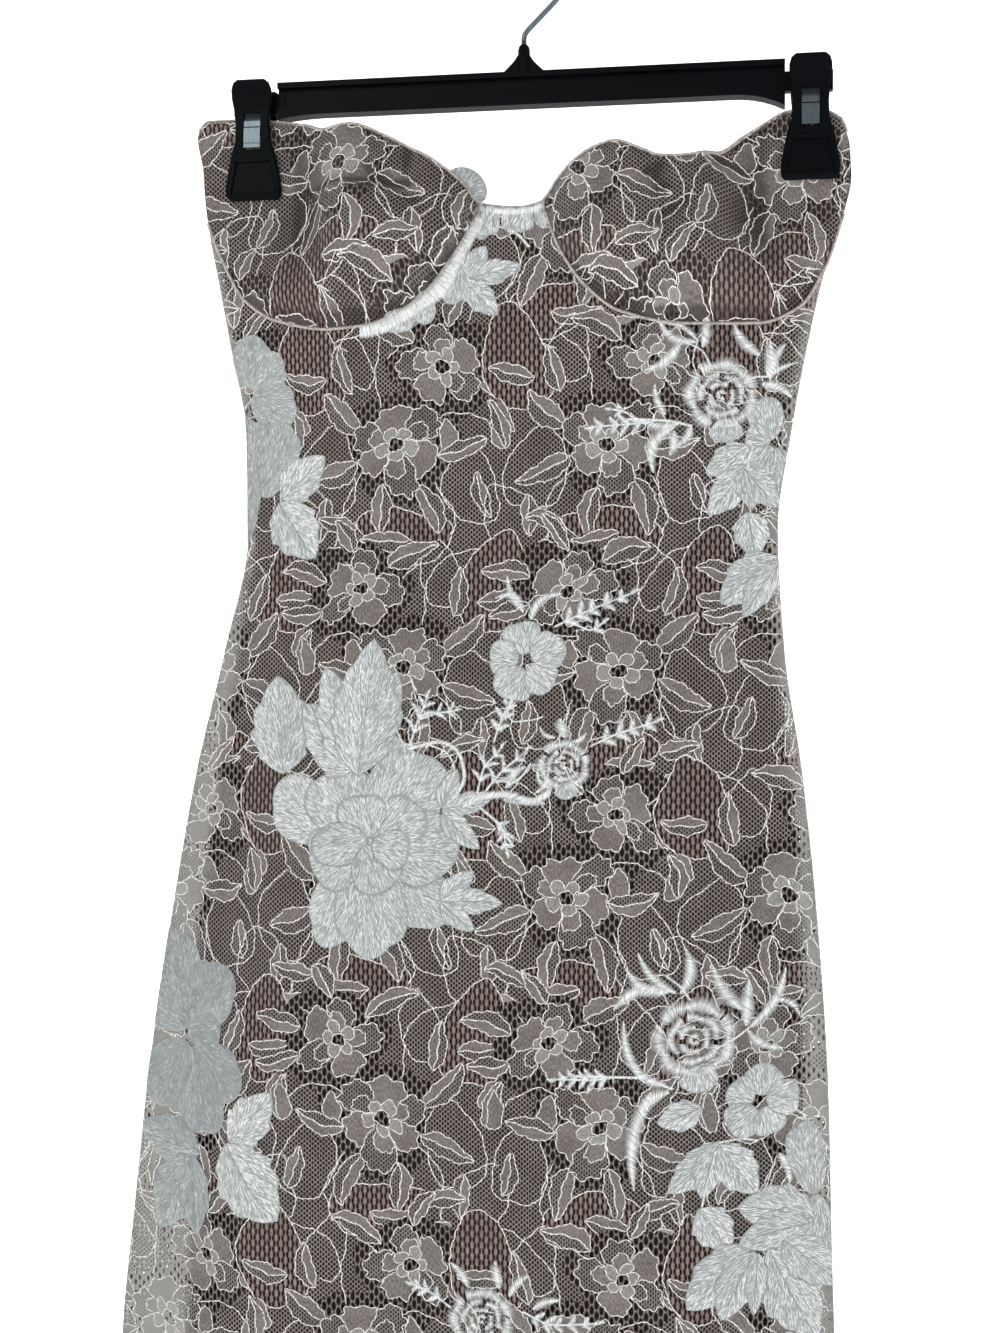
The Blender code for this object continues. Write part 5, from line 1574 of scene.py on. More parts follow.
@dataclass
class Embroidery:
    """One embroidered motif: its stitches and its padding, gathered flat in millimetres."""

    name: str
    nodes: tuple[str, ...]
    place: Place
    material: bpy.types.Material
    seed: int
    density: float = 0.95
    half_stitch: float = 0.19
    length: float = 4.4
    inset: float = 0.0004
    starts: list = field(default_factory=list)
    ends: list = field(default_factory=list)
    lifts: list = field(default_factory=list)
    shades: list = field(default_factory=list)
    pads: list = field(default_factory=list)
    fields: list = field(default_factory=list)
    # Gap round each covering field, where the dark padding shows as a painted shadow line
    gap: float = 0.35

    def __post_init__(self) -> None:
        """Its own steady source of chance."""
        self.chance = np.random.default_rng(self.seed)

    def sew(self, start: np.ndarray, end: np.ndarray, low: np.ndarray, tone: float) -> None:
        """Add stitches from start to end, their ends at the low lift, each with its own shade."""
        self.starts.append(start)
        self.ends.append(end)
        self.lifts.append(np.array(low))
        self.shades.append(np.clip(tone + self.chance.normal(0, TONE_SPREAD, len(start)), 0, 1))

    def fill(self, outline: np.ndarray, heading: float, spread: float, width: float,
             tone: float, base: float) -> None:
        """Fill a field with long and short stitches over a padding that domes up from its edge.

        Stitches start from places spread by chance; each leans off the heading by the spread
        times its place's share of the half width, and both its ends are drawn back until they
        lie in the field.

        Args:
            outline: the field's outline.
            heading: the way its middle stitches run, in degrees.
            spread: how far its outer stitches lean off that, in degrees.
            width: the field's width.
            tone: its middle shade, 0 to 1.
            base: lift of its edge off the cloth.
        """
        outline = leftward(outline)
        middle = outline.mean(axis=0)
        low, high = outline.min(axis=0), outline.max(axis=0)
        count = int(self.density * np.prod(high - low))
        spots = self.chance.uniform(low, high, (count, 2))
        spots = spots[inside(outline, spots)]
        axis = np.array([cos(radians(heading)), sin(radians(heading))])
        off = (spots - middle) @ np.array([-axis[1], axis[0]]) / (width / 2)
        lean = np.radians(heading + spread * np.clip(off, -1, 1) + self.chance.normal(0, 6, len(spots)))
        way = np.stack([np.cos(lean), np.sin(lean)], axis=-1)
        reach = (self.length / 2 * self.chance.uniform(0.7, 1.25, len(spots)))[:, None]
        ends = []
        for sign in (-1, 1):
            share = np.zeros((len(spots), 1))
            for trial in (0.25, 0.5, 0.75, 1.0):
                kept = inside(outline, spots + sign * way * reach * trial)
                share[kept] = trial
            ends.append(spots + sign * way * reach * np.maximum(share, 0.2))
        self.sew(ends[0], ends[1], base + self.dome(outline, spots), tone)
        grid = middle + (outline - middle) * PAD_RINGS
        lift = base - PAD_SUNK + self.dome(outline, grid.reshape(-1, 2)).reshape(grid.shape[:2])
        self.pads.append((grid, lift))
        self.fields.append((len(self.starts) - 1, len(self.pads) - 1, outline))

    def tuck(self) -> None:
        """Draw each field's stitches back from the fields laid over it, and flatten its padding there.

        A covering outline is grown by the gap about its middle. Stitches whose middle it holds
        are dropped; an end that it holds is drawn towards its stitch's middle, in steps.
        """
        for number, (batch, pad, outline) in enumerate(self.fields):
            start, end = self.starts[batch], self.ends[batch]
            middle = (start + end) / 2
            kept = np.ones(len(start), dtype=bool)
            grid, lift = self.pads[pad]
            low, high = outline.min(axis=0), outline.max(axis=0)
            for _, _, over in self.fields[number + 1:]:
                if np.any(over.min(axis=0) > high) or np.any(over.max(axis=0) < low):
                    continue
                centre = over.mean(axis=0)
                away = over - centre
                grown = centre + away * (1 + self.gap / np.hypot(*away.T))[:, None]
                kept &= ~inside(grown, middle)
                for tip in (start, end):
                    for _ in range(3):
                        caught = inside(grown, tip)
                        tip[caught] = middle[caught] + 0.6 * (tip[caught] - middle[caught])
                lift[inside(over, grid.reshape(-1, 2)).reshape(lift.shape)] = 0.02
            self.starts[batch], self.ends[batch] = start[kept], end[kept]
            self.lifts[batch], self.shades[batch] = self.lifts[batch][kept], self.shades[batch][kept]

    def dome(self, outline: np.ndarray, spots: np.ndarray) -> np.ndarray:
        """Height of the padding: eased up over its first millimetres from the outline."""
        apart = np.min(np.hypot(spots[:, None, 0] - outline[:, 0], spots[:, None, 1] - outline[:, 1]),
                       axis=1)
        return DOME_HEIGHT * ease(apart / DOME_WIDTH)

    def petal(self, x: float, z: float, heading: float, length: float, width: float,
              lobes: float = 5, tone: float = 0.55, base: float = 0.35) -> None:
        """A petal whose stitches fan from its narrow end."""
        self.fill(petal(x, z, heading, length, width, lobes), heading, 38, width, tone, base)

    def leaf(self, x: float, z: float, heading: float, length: float, width: float,
             bend: float = 0, teeth: int = 3, tone: float = 0.6, base: float = 0.45) -> None:
        """A leaf in two halves whose stitches run out from its midrib towards its tip."""
        for side in (-1, 1):
            half = leaf(x, z, heading, length, width, bend, teeth, side)
            # Painted sheen: one half is a little lighter than the other, as the two stitch directions catch
            # the light
            self.fill(half, heading + bend / 2 + side * 20, 12, width / 2,
                      tone + 0.08 * side, base)

    def band(self, line: np.ndarray, half: np.ndarray, slant: float = 0.4, tone: float = 0.6,
             step: float = 0.46, base: float = 0.30) -> None:
        """A row of satin stitches laid across a line.

        Args:
            line: points of the line.
            half: half width of the row at each of those points.
            slant: how far each stitch's ends shift along the line, as a share of the width.
            tone: middle shade, 0 to 1.
            step: distance from stitch to stitch.
            base: lift of the stitches' ends.
        """
        along = np.concatenate([[0.0], np.cumsum(np.hypot(*np.diff(line, axis=0).T))])
        at = np.arange(step / 2, along[-1], step)
        spots = np.stack([np.interp(at, along, line[:, 0]), np.interp(at, along, line[:, 1])], axis=-1)
        reach = np.interp(at, along, half)[:, None] * self.chance.uniform(0.82, 1.15, (len(at), 1))
        way = np.stack([np.interp(at, along, np.gradient(line[:, 0])),
                        np.interp(at, along, np.gradient(line[:, 1]))], axis=-1)
        way /= np.maximum(np.hypot(*way.T), 1e-9)[:, None]
        side = np.stack([-way[:, 1], way[:, 0]], axis=-1)
        self.sew(spots - (side + way * slant) * reach, spots + (side + way * slant) * reach,
                 np.full(len(at), base), tone)

    def leaflet(self, x0: float, z0: float, x1: float, z1: float, width: float,
                bow: float = 0.12, tone: float = 0.6) -> None:
        """A small satin leaf from its base to its tip, bowed to one side."""
        share = np.linspace(0, 1, 12)
        run = np.array([x1 - x0, z1 - z0])
        arc = np.array([-run[1], run[0]]) * bow
        line = (x0, z0) + run * share[:, None] + arc * np.sin(pi * share)[:, None]
        half = 0.66 * width * np.maximum(np.sin(pi * share ** 0.8) ** 0.7, 0.14)
        self.band(line, half, 0.55, tone, 0.40, 0.48)

    def stem(self, knots: tuple, width: float = 1.1, tone: float = 0.6) -> None:
        """A cord of short satin stitches through a few places."""
        line = stem_line(knots)
        self.band(line, np.full(len(line), 0.68 * width), 0.9, tone, 0.36, 0.45)

    def spray(self, knots: tuple, pairs: int, length: float, width: float, angle: float = 48) -> None:
        """A stem with leaflets set along both sides, shorter towards its tip, and one at its end."""
        self.stem(knots, 1.2)
        line = stem_line(knots)
        way = np.gradient(line, axis=0)
        for k in range(pairs):
            at = int((k + 1.0) / (pairs + 0.6) * (len(line) - 1))
            reach = length * (1.1 - 0.45 * k / pairs)
            for side in (-1, 1):
                turn = atan2(way[at, 1], way[at, 0]) + side * radians(angle)
                tip = line[at] + reach * (0.9 + 0.2 * (k % 2)) * np.array([cos(turn), sin(turn)])
                self.leaflet(*line[at], *tip, 1.2 * width, -0.12 * side)
        last = atan2(way[-1, 1], way[-1, 0])
        self.leaflet(*line[-1], *(line[-1] + length * 0.7 * np.array([cos(last), sin(last)])), width)

    def ring(self, x: float, z: float, radius: float, half: float, start: float, sweep: float,
             lobes: int, wave: float, squash: float = 1.0) -> None:
        """A part ring of radial stitches, scalloped along its run."""
        t = np.radians(start + sweep * np.linspace(0, 1, 60))
        scallop = np.abs(np.sin(lobes * t / 2))
        r = radius + wave * (scallop - 0.5)
        line = np.stack([x + r * np.cos(t), z + r * squash * np.sin(t)], axis=-1)
        self.band(line, half * (0.75 + 0.45 * scallop), 0.12, 0.62, 0.42, 0.48)

    def rose(self, x: float, z: float, radius: float, turn: float) -> None:
        """A rose of broken, scalloped rings with net between them, and a knotted heart."""
        rings = ((0.83, 0.19, 7, 0.10), (0.54, 0.12, 5, 0.08), (0.31, 0.10, 4, 0.06))
        for number, (share, half, lobes, wave) in enumerate(rings):
            start = turn + 80 * number
            for part in range(3):
                self.ring(x, z, radius * share, radius * half, start + 122 * part,
                          112 - 10 * number, lobes, radius * wave, 0.96)
        self.ring(x, z, radius * 0.10, radius * 0.07, turn, 300, 3, 0.2)
        self.petal(x + 0.05 * radius, z - 0.62 * radius, -80, 0.62 * radius, 0.95 * radius, 4)

    def flower(self, x: float, z: float, radius: float, turn: float, petals: int) -> None:
        """An open flower round a small netted eye."""
        size = (1.0, 0.90, 1.05, 0.93, 1.08, 0.96)
        for k in range(petals):
            heading = turn + 360 / petals * k
            foot = 0.17 * radius
            self.petal(x + foot * cos(radians(heading)), z + foot * sin(radians(heading)), heading,
                       (radius - foot) * size[k % 6], 1.02 * radius * size[(k + 2) % 6], 4,
                       0.6, 0.35 + 0.05 * (k % 3))

    def finish(self) -> bpy.types.Object:
        """Make the motif's piece: a four-sided ridge for each stitch, and the padding's rings."""
        self.tuck()
        start, end = np.concatenate(self.starts), np.concatenate(self.ends)
        low, shade = np.concatenate(self.lifts), np.concatenate(self.shades)
        way = end - start
        size = np.maximum(np.hypot(*way.T), 1e-6)[:, None]
        side = np.stack([-way[:, 1], way[:, 0]], axis=-1) / size * self.half_stitch
        middle = (start + end) / 2
        flat = np.stack([start, middle - side, middle + side, end, middle], axis=1)
        rise = np.minimum(STITCH_RISE + LENGTH_RISE * size[:, 0], TOP_RISE)
        beside = rise - SIDE_DROP
        lift = low[:, None] + np.stack([0 * rise, beside, beside, 0 * rise, rise], axis=1)
        corner = np.array([[0, 1, 4], [0, 4, 2], [3, 4, 1], [3, 2, 4]])
        faces = [(corner[None] + 5 * np.arange(len(start))[:, None, None]).reshape(-1, 3)]
        points, lifts, shades = [flat.reshape(-1, 2)], [lift.ravel()], [np.repeat(shade, 5)]
        count = 5 * len(start)
        for grid, height in self.pads:
            quads = grid_faces(grid.shape[0], grid.shape[1], count, around=True)
            faces += [quads[:, [0, 1, 2]], quads[:, [0, 2, 3]]]
            points.append(grid.reshape(-1, 2))
            lifts.append(height.ravel())
            # The padding's painted shadow tone
            shades.append(np.full(height.size, PAD_SHADOW_TONE))
            count += height.size
        flat, lift = np.concatenate(points) * MM, np.concatenate(lifts) * MM
        low_x, high_x = TUBE.edge("left", flat[:, 1]), TUBE.edge("right", flat[:, 1])
        flat[:, 0] = np.clip(flat[:, 0], low_x + self.inset, high_x - self.inset)
        made = build(self.name, self.place(flat[:, 0], flat[:, 1], lift), np.concatenate(faces),
                     [self.material], shade=np.concatenate(shades))
        if self.nodes:
            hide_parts(*self.nodes)
        return made


@dataclass(frozen=True)
class Plan:
    """What one motif is made of; each row holds the values of the Embroidery call it is named for."""

    name: str
    nodes: tuple[str, ...]
    petals: tuple = ()
    leaves: tuple = ()
    flowers: tuple = ()
    roses: tuple = ()
    leaflets: tuple = ()
    stems: tuple = ()
    sprays: tuple = ()

    def make(self, material: bpy.types.Material, seed: int) -> bpy.types.Object:
        """Sew the motif, undermost fields first."""
        nodes = tuple("applique_" + node for node in self.nodes)
        sewn = Embroidery(self.name, nodes, TUBE.front, material, seed)
        for rows, work in ((self.petals, sewn.petal), (self.leaves, sewn.leaf),
                           (self.flowers, sewn.flower), (self.roses, sewn.rose),
                           (self.stems, sewn.stem), (self.sprays, sewn.spray),
                           (self.leaflets, sewn.leaflet)):
            for row in rows:
                work(*row)
        return sewn.finish()


# Each field's tone paints how lit it looks: the thread is one white, and the tones stand for the light and
# shade on each field
PLANS = (
    Plan("embroidery_flower_large",
         ("flower_large", "leaf_serrated", "leaf_upper_left", "petal_left", "leaf_stem_upper",
          "leaf_pair_left", "leaf_pair_right"),
         petals=(
             (-84, -491, 60, 23, 24, 3, 0.46, 0.30), (-106, -528, 150, 48, 40, 3, 0.66, 0.32),
             (-94, -530, 120, 42, 44, 3, 0.62, 0.36), (-90, -532, 53, 62, 48, 3, 0.54, 0.40),
             (-92, -534, -43, 64, 42, 3, 0.46, 0.42), (-96, -538, -108, 57, 36, 5, 0.60, 0.38),
             (-90, -538, -86, 60, 44, 5, 0.52, 0.44), (-96, -534, -150, 30, 40, 3, 0.48, 0.46),
             (-90, -532, -5, 52, 48, 3, 0.50, 0.46), (-86, -531, 34, 33, 30, 3, 0.58, 0.66),
             (-90, -530, 104, 25, 30, 3, 0.62, 0.70), (-90, -531, 190, 32, 27, 3, 0.52, 0.74),
             (-90, -534, -70, 28, 32, 3, 0.46, 0.78), (-87, -533, -16, 22, 24, 3, 0.58, 0.84),
         ),
         leaves=(
             (-143, -494, 94, 59, 41, 4, 4, 0.60),
             (-98, -490, 150, 31, 22, 6, 2, 0.55, 0.40), (-98, -490, 128, 50, 30, 6, 3, 0.58, 0.42),
             (-98, -490, 106, 63, 28, 4, 3, 0.60, 0.44), (-94, -490, 72, 61, 26, -4, 3, 0.60, 0.44),
             (-96, -494, 84, 81, 38, 0, 5, 0.62, 0.48),
             (-46, -513, 74, 25, 12, -10, 2), (-46, -513, 12, 32, 13, 8, 3),
             (-46, -514, -50, 31, 14, 12, 2), (-46, -566, 50, 26, 13, -16, 2),
             (-46, -566, 2, 36, 15, -6, 3), (-46, -567, -44, 25, 13, 10, 2),
         ),
         stems=(
             (((-66, -478), (-48, -474), (-36, -481), (-33, -494), (-40, -509)), 2.2),
             (((-56, -475), (-44, -480), (-39, -490), (-44, -502)), 1.0),
             (((-50, -517), (-46, -528), (-38, -538)), 0.9),
         ),
         sprays=(
             (((-66, -478), (-61, -462), (-56, -450)), 3, 11, 2.4),
             (((-60, -461), (-48, -457), (-40, -456)), 2, 8, 2.0),
             (((-74, -466), (-70, -474), (-66, -478)), 1, 6, 2.0),
         )),
    Plan("embroidery_centre", ("flower_open", "rose_small"),
         petals=((2, -505, -95, 5, 26, 3, 0.6),),
         flowers=((2, -427, 23, 97, 5),),
         roses=((25, -487, 15.5, 30),),
         leaflets=(
             (0.5, -398, -9, -377, 4.4, 0.10), (0.5, -399, -16, -390, 4.0, -0.35),
             (5, -403, 23, -388, 5.0, 0.22), (25, -471, 23, -460, 8.0, 0.0),
             (20, -471, 11, -465, 3.0, 0.2), (30, -473, 38, -468, 3.0, -0.2),
             (-8, -500, 3, -488, 6.0, 0.15), (8, -503, 16, -490, 3.0, -0.2),
             (18, -500, 10, -489, 3.2, 0.25),
         ),
         stems=(
             (((-34, -512), (-22, -505), (-8, -504), (6, -508), (18, -502)), 4.2),
             (((-9, -500), (0, -494), (6, -486)), 1.2),
             (((25, -487), (30, -496), (36, -500)), 1.1),
             (((-30, -507), (-22, -513), (-12, -522), (-4, -534)), 1.6),
             (((-4, -448), (-8, -456), (-4, -462), (6, -461), (13, -459)), 1.0),
         ),
         sprays=(
             (((19, -407), (38, -398), (63, -388)), 5, 9, 3.4),
             (((30, -405), (40, -409), (47, -405)), 1, 7, 2.8),
             (((40, -476), (58, -468), (77, -462)), 4, 9, 3.4),
             (((-26, -506), (-22, -490), (-12, -478)), 3, 9, 2.2),
             (((-22, -504), (-12, -492), (2, -480)), 3, 9, 2.2),
             (((-16, -474), (-12, -462), (-6, -450)), 3, 8, 3.2),
             (((-18, -516), (-10, -524), (-8, -536)), 3, 7, 2.6),
         )),
    Plan("embroidery_upper_right",
         ("rose_upper", "flower_upper", "leaf_side_one", "leaf_side_two", "leaf_side_low",
          "leaf_side_three"),
         petals=(
             (143, -299, 100, 25, 22, 3, 0.5), (143, -300, 160, 15, 16, 3, 0.55),
             (144, -302, -120, 22, 20, 3, 0.5), (147, -303, -75, 24, 16, 3, 0.45),
         ),
         leaves=(
             (131, -302, 218, 30, 18, -10, 3, 0.62), (130, -313, 236, 37, 20, -8, 4, 0.66),
             (130, -313, 272, 26, 15, 8, 3, 0.62), (128, -315, -52, 31, 17, 10, 3, 0.58),
             (130, -340, -80, 27, 21, 0, 3, 0.62), (148, -367, 212, 43, 26, 14, 3, 0.60),
             (148, -370, 232, 38, 16, 10, 3, 0.56),
         ),
         roses=((115, -273, 21.5, 15),),
         leaflets=(
             (101, -243, 79, -229, 5.0, 0.22), (102, -243, 78, -232, 3.2, -0.15),
             (92, -244, 71, -259, 6.2, 0.12), (104, -246, 107, -226, 6.4, -0.05),
             (137, -250, 122, -232, 6.4, 0.10), (141, -262, 143, -242, 7.5, -0.08),
             (143, -263, 152, -243, 6.0, 0.10), (138, -266, 155, -274, 6.0, 0.12),
             (141, -262, 158, -254, 3.2, 0.05), (83, -285, 77, -267, 4.4, 0.10),
             (88, -294, 85, -308, 6.6, 0.1), (98, -291, 88, -303, 5.2, 0.15),
             (88, -292, 76, -318, 7.2, -0.25), (92, -289, 68, -287, 5.4, 0.15),
         ),
         stems=(
             (((110, -259), (104, -248), (94, -243)), 1.1), (((98, -291), (82, -288), (61, -287)), 1.6),
             (((128, -266), (136, -262), (142, -262)), 1.2), (((136, -290), (133, -302), (130, -314)), 1.3),
             (((128, -314), (140, -318), (148, -316)), 1.1),
         ),
         sprays=(
             (((76, -289), (60, -290), (42, -291)), 4, 9, 3.0),
             (((66, -288), (60, -283), (52, -281)), 1, 6, 2.4),
         )),
    # Its petals' low tones are painted shade: they sit where the tube turns away from the light
    Plan("embroidery_left_edge",
         ("petal_edge_upper", "petal_edge_lower", "leaf_edge_upper", "leaf_edge_lower"),
         petals=(
             (-166, -262, 96, 31, 28, 4, 0.20), (-168, -262, 42, 26, 26, 4, 0.25),
             (-168, -268, -20, 30, 30, 4, 0.22), (-164, -325, 98, 45, 30, 4, 0.20),
             (-160, -328, 70, 46, 28, 4, 0.25), (-166, -305, -100, 50, 18, 4, 0.16),
         ),
         leaves=(
             (-148, -330, 46, 38, 24, -8, 3, 0.66), (-150, -331, -60, 42, 32, 10, 4, 0.62),
         )),
    Plan("embroidery_lower_right",
         ("rose_lower", "flower_lower", "leaf_lower_one", "leaf_lower_two", "leaf_lower_three",
          "leaf_lower_four", "leaf_lower_five"),
         petals=(
             (168, -735, 100, 42, 24, 4, 0.40), (170, -735, -92, 44, 24, 4, 0.40),
         ),
         leaves=(
             (104, -680, 208, 27, 17, -14, 3, 0.62), (116, -701, 226, 42, 20, -8, 4, 0.64),
             (114, -700, 250, 34, 18, 6, 3, 0.62), (114, -702, -58, 37, 24, 8, 4, 0.64),
             (102, -738, -50, 31, 22, -8, 3, 0.62), (134, -763, 214, 50, 30, 12, 3, 0.64),
             (134, -765, 240, 42, 24, 6, 3, 0.60), (168, -749, 160, 45, 30, 14, 4, 0.62),
             (166, -752, 186, 42, 24, 10, 3, 0.58), (142, -764, -66, 62, 34, 6, 5, 0.60),
             (136, -766, -94, 36, 12, 0, 3, 0.55), (150, -760, -40, 44, 26, 6, 4, 0.55),
         ),
         flowers=((137, -680, 21.5, 80, 5),),
         roses=((100, -642, 24, 40),),
         leaflets=(
             (90, -616, 68, -593, 5.0, 0.12), (86, -615, 62, -603, 7.0, 0.2),
             (80, -614, 54, -626, 6.6, -0.15), (92, -616, 95, -590, 7.0, -0.18),
             (127, -627, 110, -600, 7.4, 0.08), (129, -636, 131, -610, 8.0, 0.0),
             (131, -637, 152, -604, 6.0, -0.12), (146, -622, 160, -632, 4.0, 0.2),
             (130, -638, 150, -650, 5.0, -0.15), (148, -710, 154, -728, 6.0, 0.1),
             (72, -667, 60, -632, 5.4, 0.10), (76, -672, 66, -728, 7.6, -0.10),
             (84, -668, 66, -656, 5.4, 0.15), (86, -672, 70, -688, 6.6, -0.2),
         ),
         stems=(
             (((98, -620), (92, -612), (84, -606)), 1.1), (((88, -670), (66, -664), (30, -664)), 1.5),
             (((112, -648), (124, -642), (131, -637)), 1.2), (((136, -702), (126, -700), (114, -701)), 1.2),
             (((112, -706), (108, -722), (104, -738)), 1.2),
         ),
         sprays=(
             (((56, -664), (40, -666), (22, -666)), 5, 9, 2.8),
             (((164, -690), (156, -684), (150, -672)), 2, 8, 3.0),
         )),
    Plan("embroidery_lower_left", ("leaf_left_small", "leaf_left_large"),
         leaves=(
             (-174, -711, 44, 42, 26, 10, 3, 0.66), (-176, -712, -58, 54, 40, 14, 4, 0.64),
         )),
    Plan("embroidery_hem", ("flower_hem",),
         roses=((-22, -806, 19, 10),),
         leaflets=(
             (-6, -792, 6, -779, 5.0, 0.1), (-30, -788, -40, -774, 5.0, -0.1),
             (-12, -788, -14, -772, 6.0, 0.0), (8, -798, 24, -792, 4.6, 0.1),
         ),
         sprays=((((2, -800), (20, -806), (44, -804)), 5, 8, 3.0),
                 (((-40, -800), (-52, -792), (-62, -788)), 3, 7, 2.8))),
    # Tones near 0 are painted shade: these flowers and leaves sit where the tube turns away from the light
    Plan("embroidery_left_low", ("flower_left_upper", "flower_left_lower", "leaf_left_low"),
         petals=(
             (-205, -640, 108, 52, 34, 4, 0.06), (-204, -650, 62, 46, 40, 4, -0.02),
             (-206, -648, 140, 34, 34, 4, 0.04), (-204, -662, -30, 40, 38, 4, -0.04),
             (-206, -660, -72, 52, 36, 4, 0.00), (-208, -656, -122, 44, 36, 4, -0.05),
             (-206, -652, 10, 24, 26, 3, -0.06),
         ),
         leaves=(
             (-196, -722, 168, 44, 30, -14, 4, 0.12), (-198, -724, 234, 54, 32, 14, 4, 0.12),
             (-200, -724, -88, 46, 22, 4, 3, 0.08),
         )),
)


# Base x and z, heading, length, width, lobes and tone: lobes of the band, petals on the gore
BAND_LOBES = ((-37, -190, -98, 28, 19, 3, 0.52), (-57, -209, -100, 20, 17, 3, 0.56),
              (-73, -219, -98, 15, 20, 3, 0.58))
GORE_PETALS = ((-27, -160, -80, 20, 15, 5, 0.62), (-18, -161, -108, 18, 17, 5, 0.56),
               (-9, -162, -70, 16, 14, 5, 0.62), (2, -162, -105, 15, 15, 5, 0.56),
               (10, -160, -80, 15, 10, 5, 0.60))
# Base x and z, heading, length, width, bend and teeth
SPRIG_LEAVES = ((-33, -203, 62, 22, 14, -8, 2), (-33, -203, 10, 33, 15, 4, 3),
                (-34, -204, -50, 29, 16, 6, 3))
BAND_SPAN = (-97, -27.5)
GORE_SPAN = (-27.5, 13.5)
BEHIND_CUP = -0.0036


def build_bust(material: bpy.types.Material) -> list[bpy.types.Object]:
    """The band under the left cup, the sprig with the gore's motif, and the scallop behind the cup."""
    band = Embroidery("embroidery_band", ("band_underwire_left",), TUBE.front, material, 41)
    x = np.linspace(*BAND_SPAN, 120)
    z = TUBE.wire(x * MM) / MM
    path = np.stack([x, z], axis=-1)
    way = np.gradient(path, axis=0)
    down = np.stack([way[:, 1], -way[:, 0]], axis=-1) / np.hypot(*way.T)[:, None]
    share = np.linspace(0, 1, 120)
    flare = 5.0 * np.exp(-((share - 0.66) / 0.09) ** 2)
    half = 4.3 + 0.5 * np.abs(np.sin(9.0 * share)) + flare / 2 - 0.9 * share ** 3
    for row in BAND_LOBES:
        band.petal(*row)
    band.band(path + down * (half - 1.0)[:, None], half, 0.05, 0.66, 0.26, 0.75)
    band.band(path + down * (half * 1.3 - 0.6)[:, None], half * 0.62, 0.15, 0.70, 0.30, 0.85)
    sprig = Embroidery("embroidery_bust", ("applique_leaf_sprig_bust",), TUBE.front, material, 42)
    for row in SPRIG_LEAVES:
        sprig.leaf(*row)
    for row in GORE_PETALS:
        sprig.petal(*row)
    x = np.linspace(*GORE_SPAN, 80)
    gore = np.stack([x, TUBE.neck(x * MM) / MM - 3.0], axis=-1)
    sprig.band(gore, np.full(80, 3.0), 0.2, 0.66, 0.30, 0.6)
    sprig.stem(((-27, -168), (-27, -176), (-33, -184)), 1.6)
    sprig.stem(((-8, -174), (-2, -179), (4, -186)), 1.6)

    def behind(x: np.ndarray, z: np.ndarray, out: "float | np.ndarray" = 0.0) -> np.ndarray:
        """A place just behind the left cup."""
        return TUBE.cup(x, z, "left", BEHIND_CUP + out)

    scallop = Embroidery("embroidery_scallop", (), behind, material, 43)
    scallop.petal(-48, -164, 42, 30, 27, 0, 0.36, 0.1)
    return [band.finish(), sprig.finish(), scallop.finish()]


# Hanger

HOOK_WIRE = 0.0016
HOOK_RADIUS = 0.0225
HOOK_TIP_ANGLE = 205.0
BOSS_X = -0.0018
BOSS_TOP = -0.0606
HOOK_JOIN = -45
HOOK_BEND = 0.0028
# One clip jaw's face: height and distance from the rail's middle plane
JAW_FACE = ((-0.1482, 0.0058), (-0.1462, 0.0066), (-0.1420, 0.0070), (-0.1350, 0.0072),
            (-0.1260, 0.0072), (-0.1220, 0.0074), (-0.1130, 0.0081), (-0.1040, 0.0084),
            (-0.0940, 0.0090), (-0.0880, 0.0100), (-0.0830, 0.0114), (-0.0795, 0.0122))
SPRING_FACE = ((-0.1176, 0.0095), (-0.1080, 0.0092), (-0.1015, 0.0082))


@dataclass(frozen=True)
class PlasticFinish:
    """Black moulded plastic with a faint grain."""

    dark: tuple = linear(3, 5, 7)
    light: tuple = linear(9, 12, 16)

    def make(self) -> bpy.types.Material:
        """The material: a near-black tone, clouded a little, with soft highlights."""
        material, w, shader = new_material("hanger_plastic", 0.42)
        shader.inputs["Specular IOR Level"].default_value = 0.05
        grain = w.noise(w.add("TexCoord").outputs["Object"], 900.0)
        w.coat(shader, w.blend(grain, self.dark, self.light), grain, 0.08, 0.0001)
        return material


@dataclass(frozen=True)
class SteelFinish:
    """Bright plated steel with fine drawn lines."""

    dark: tuple = linear(60, 70, 74)
    light: tuple = linear(120, 131, 137)

    def make(self) -> bpy.types.Material:
        """The material: metal whose tone and relief run in fine lines."""
        material, w, shader = new_material("hanger_steel", 0.34, metallic=0.85)
        place = w.add("TexCoord").outputs["Object"]
        drawn = w.vector("MULTIPLY", place, (2600.0, 300.0, 180.0))
        grain = w.noise(drawn, 1.0)
        w.coat(shader, w.blend(grain, self.dark, self.light), grain, 0.15, 0.0001)
        return material


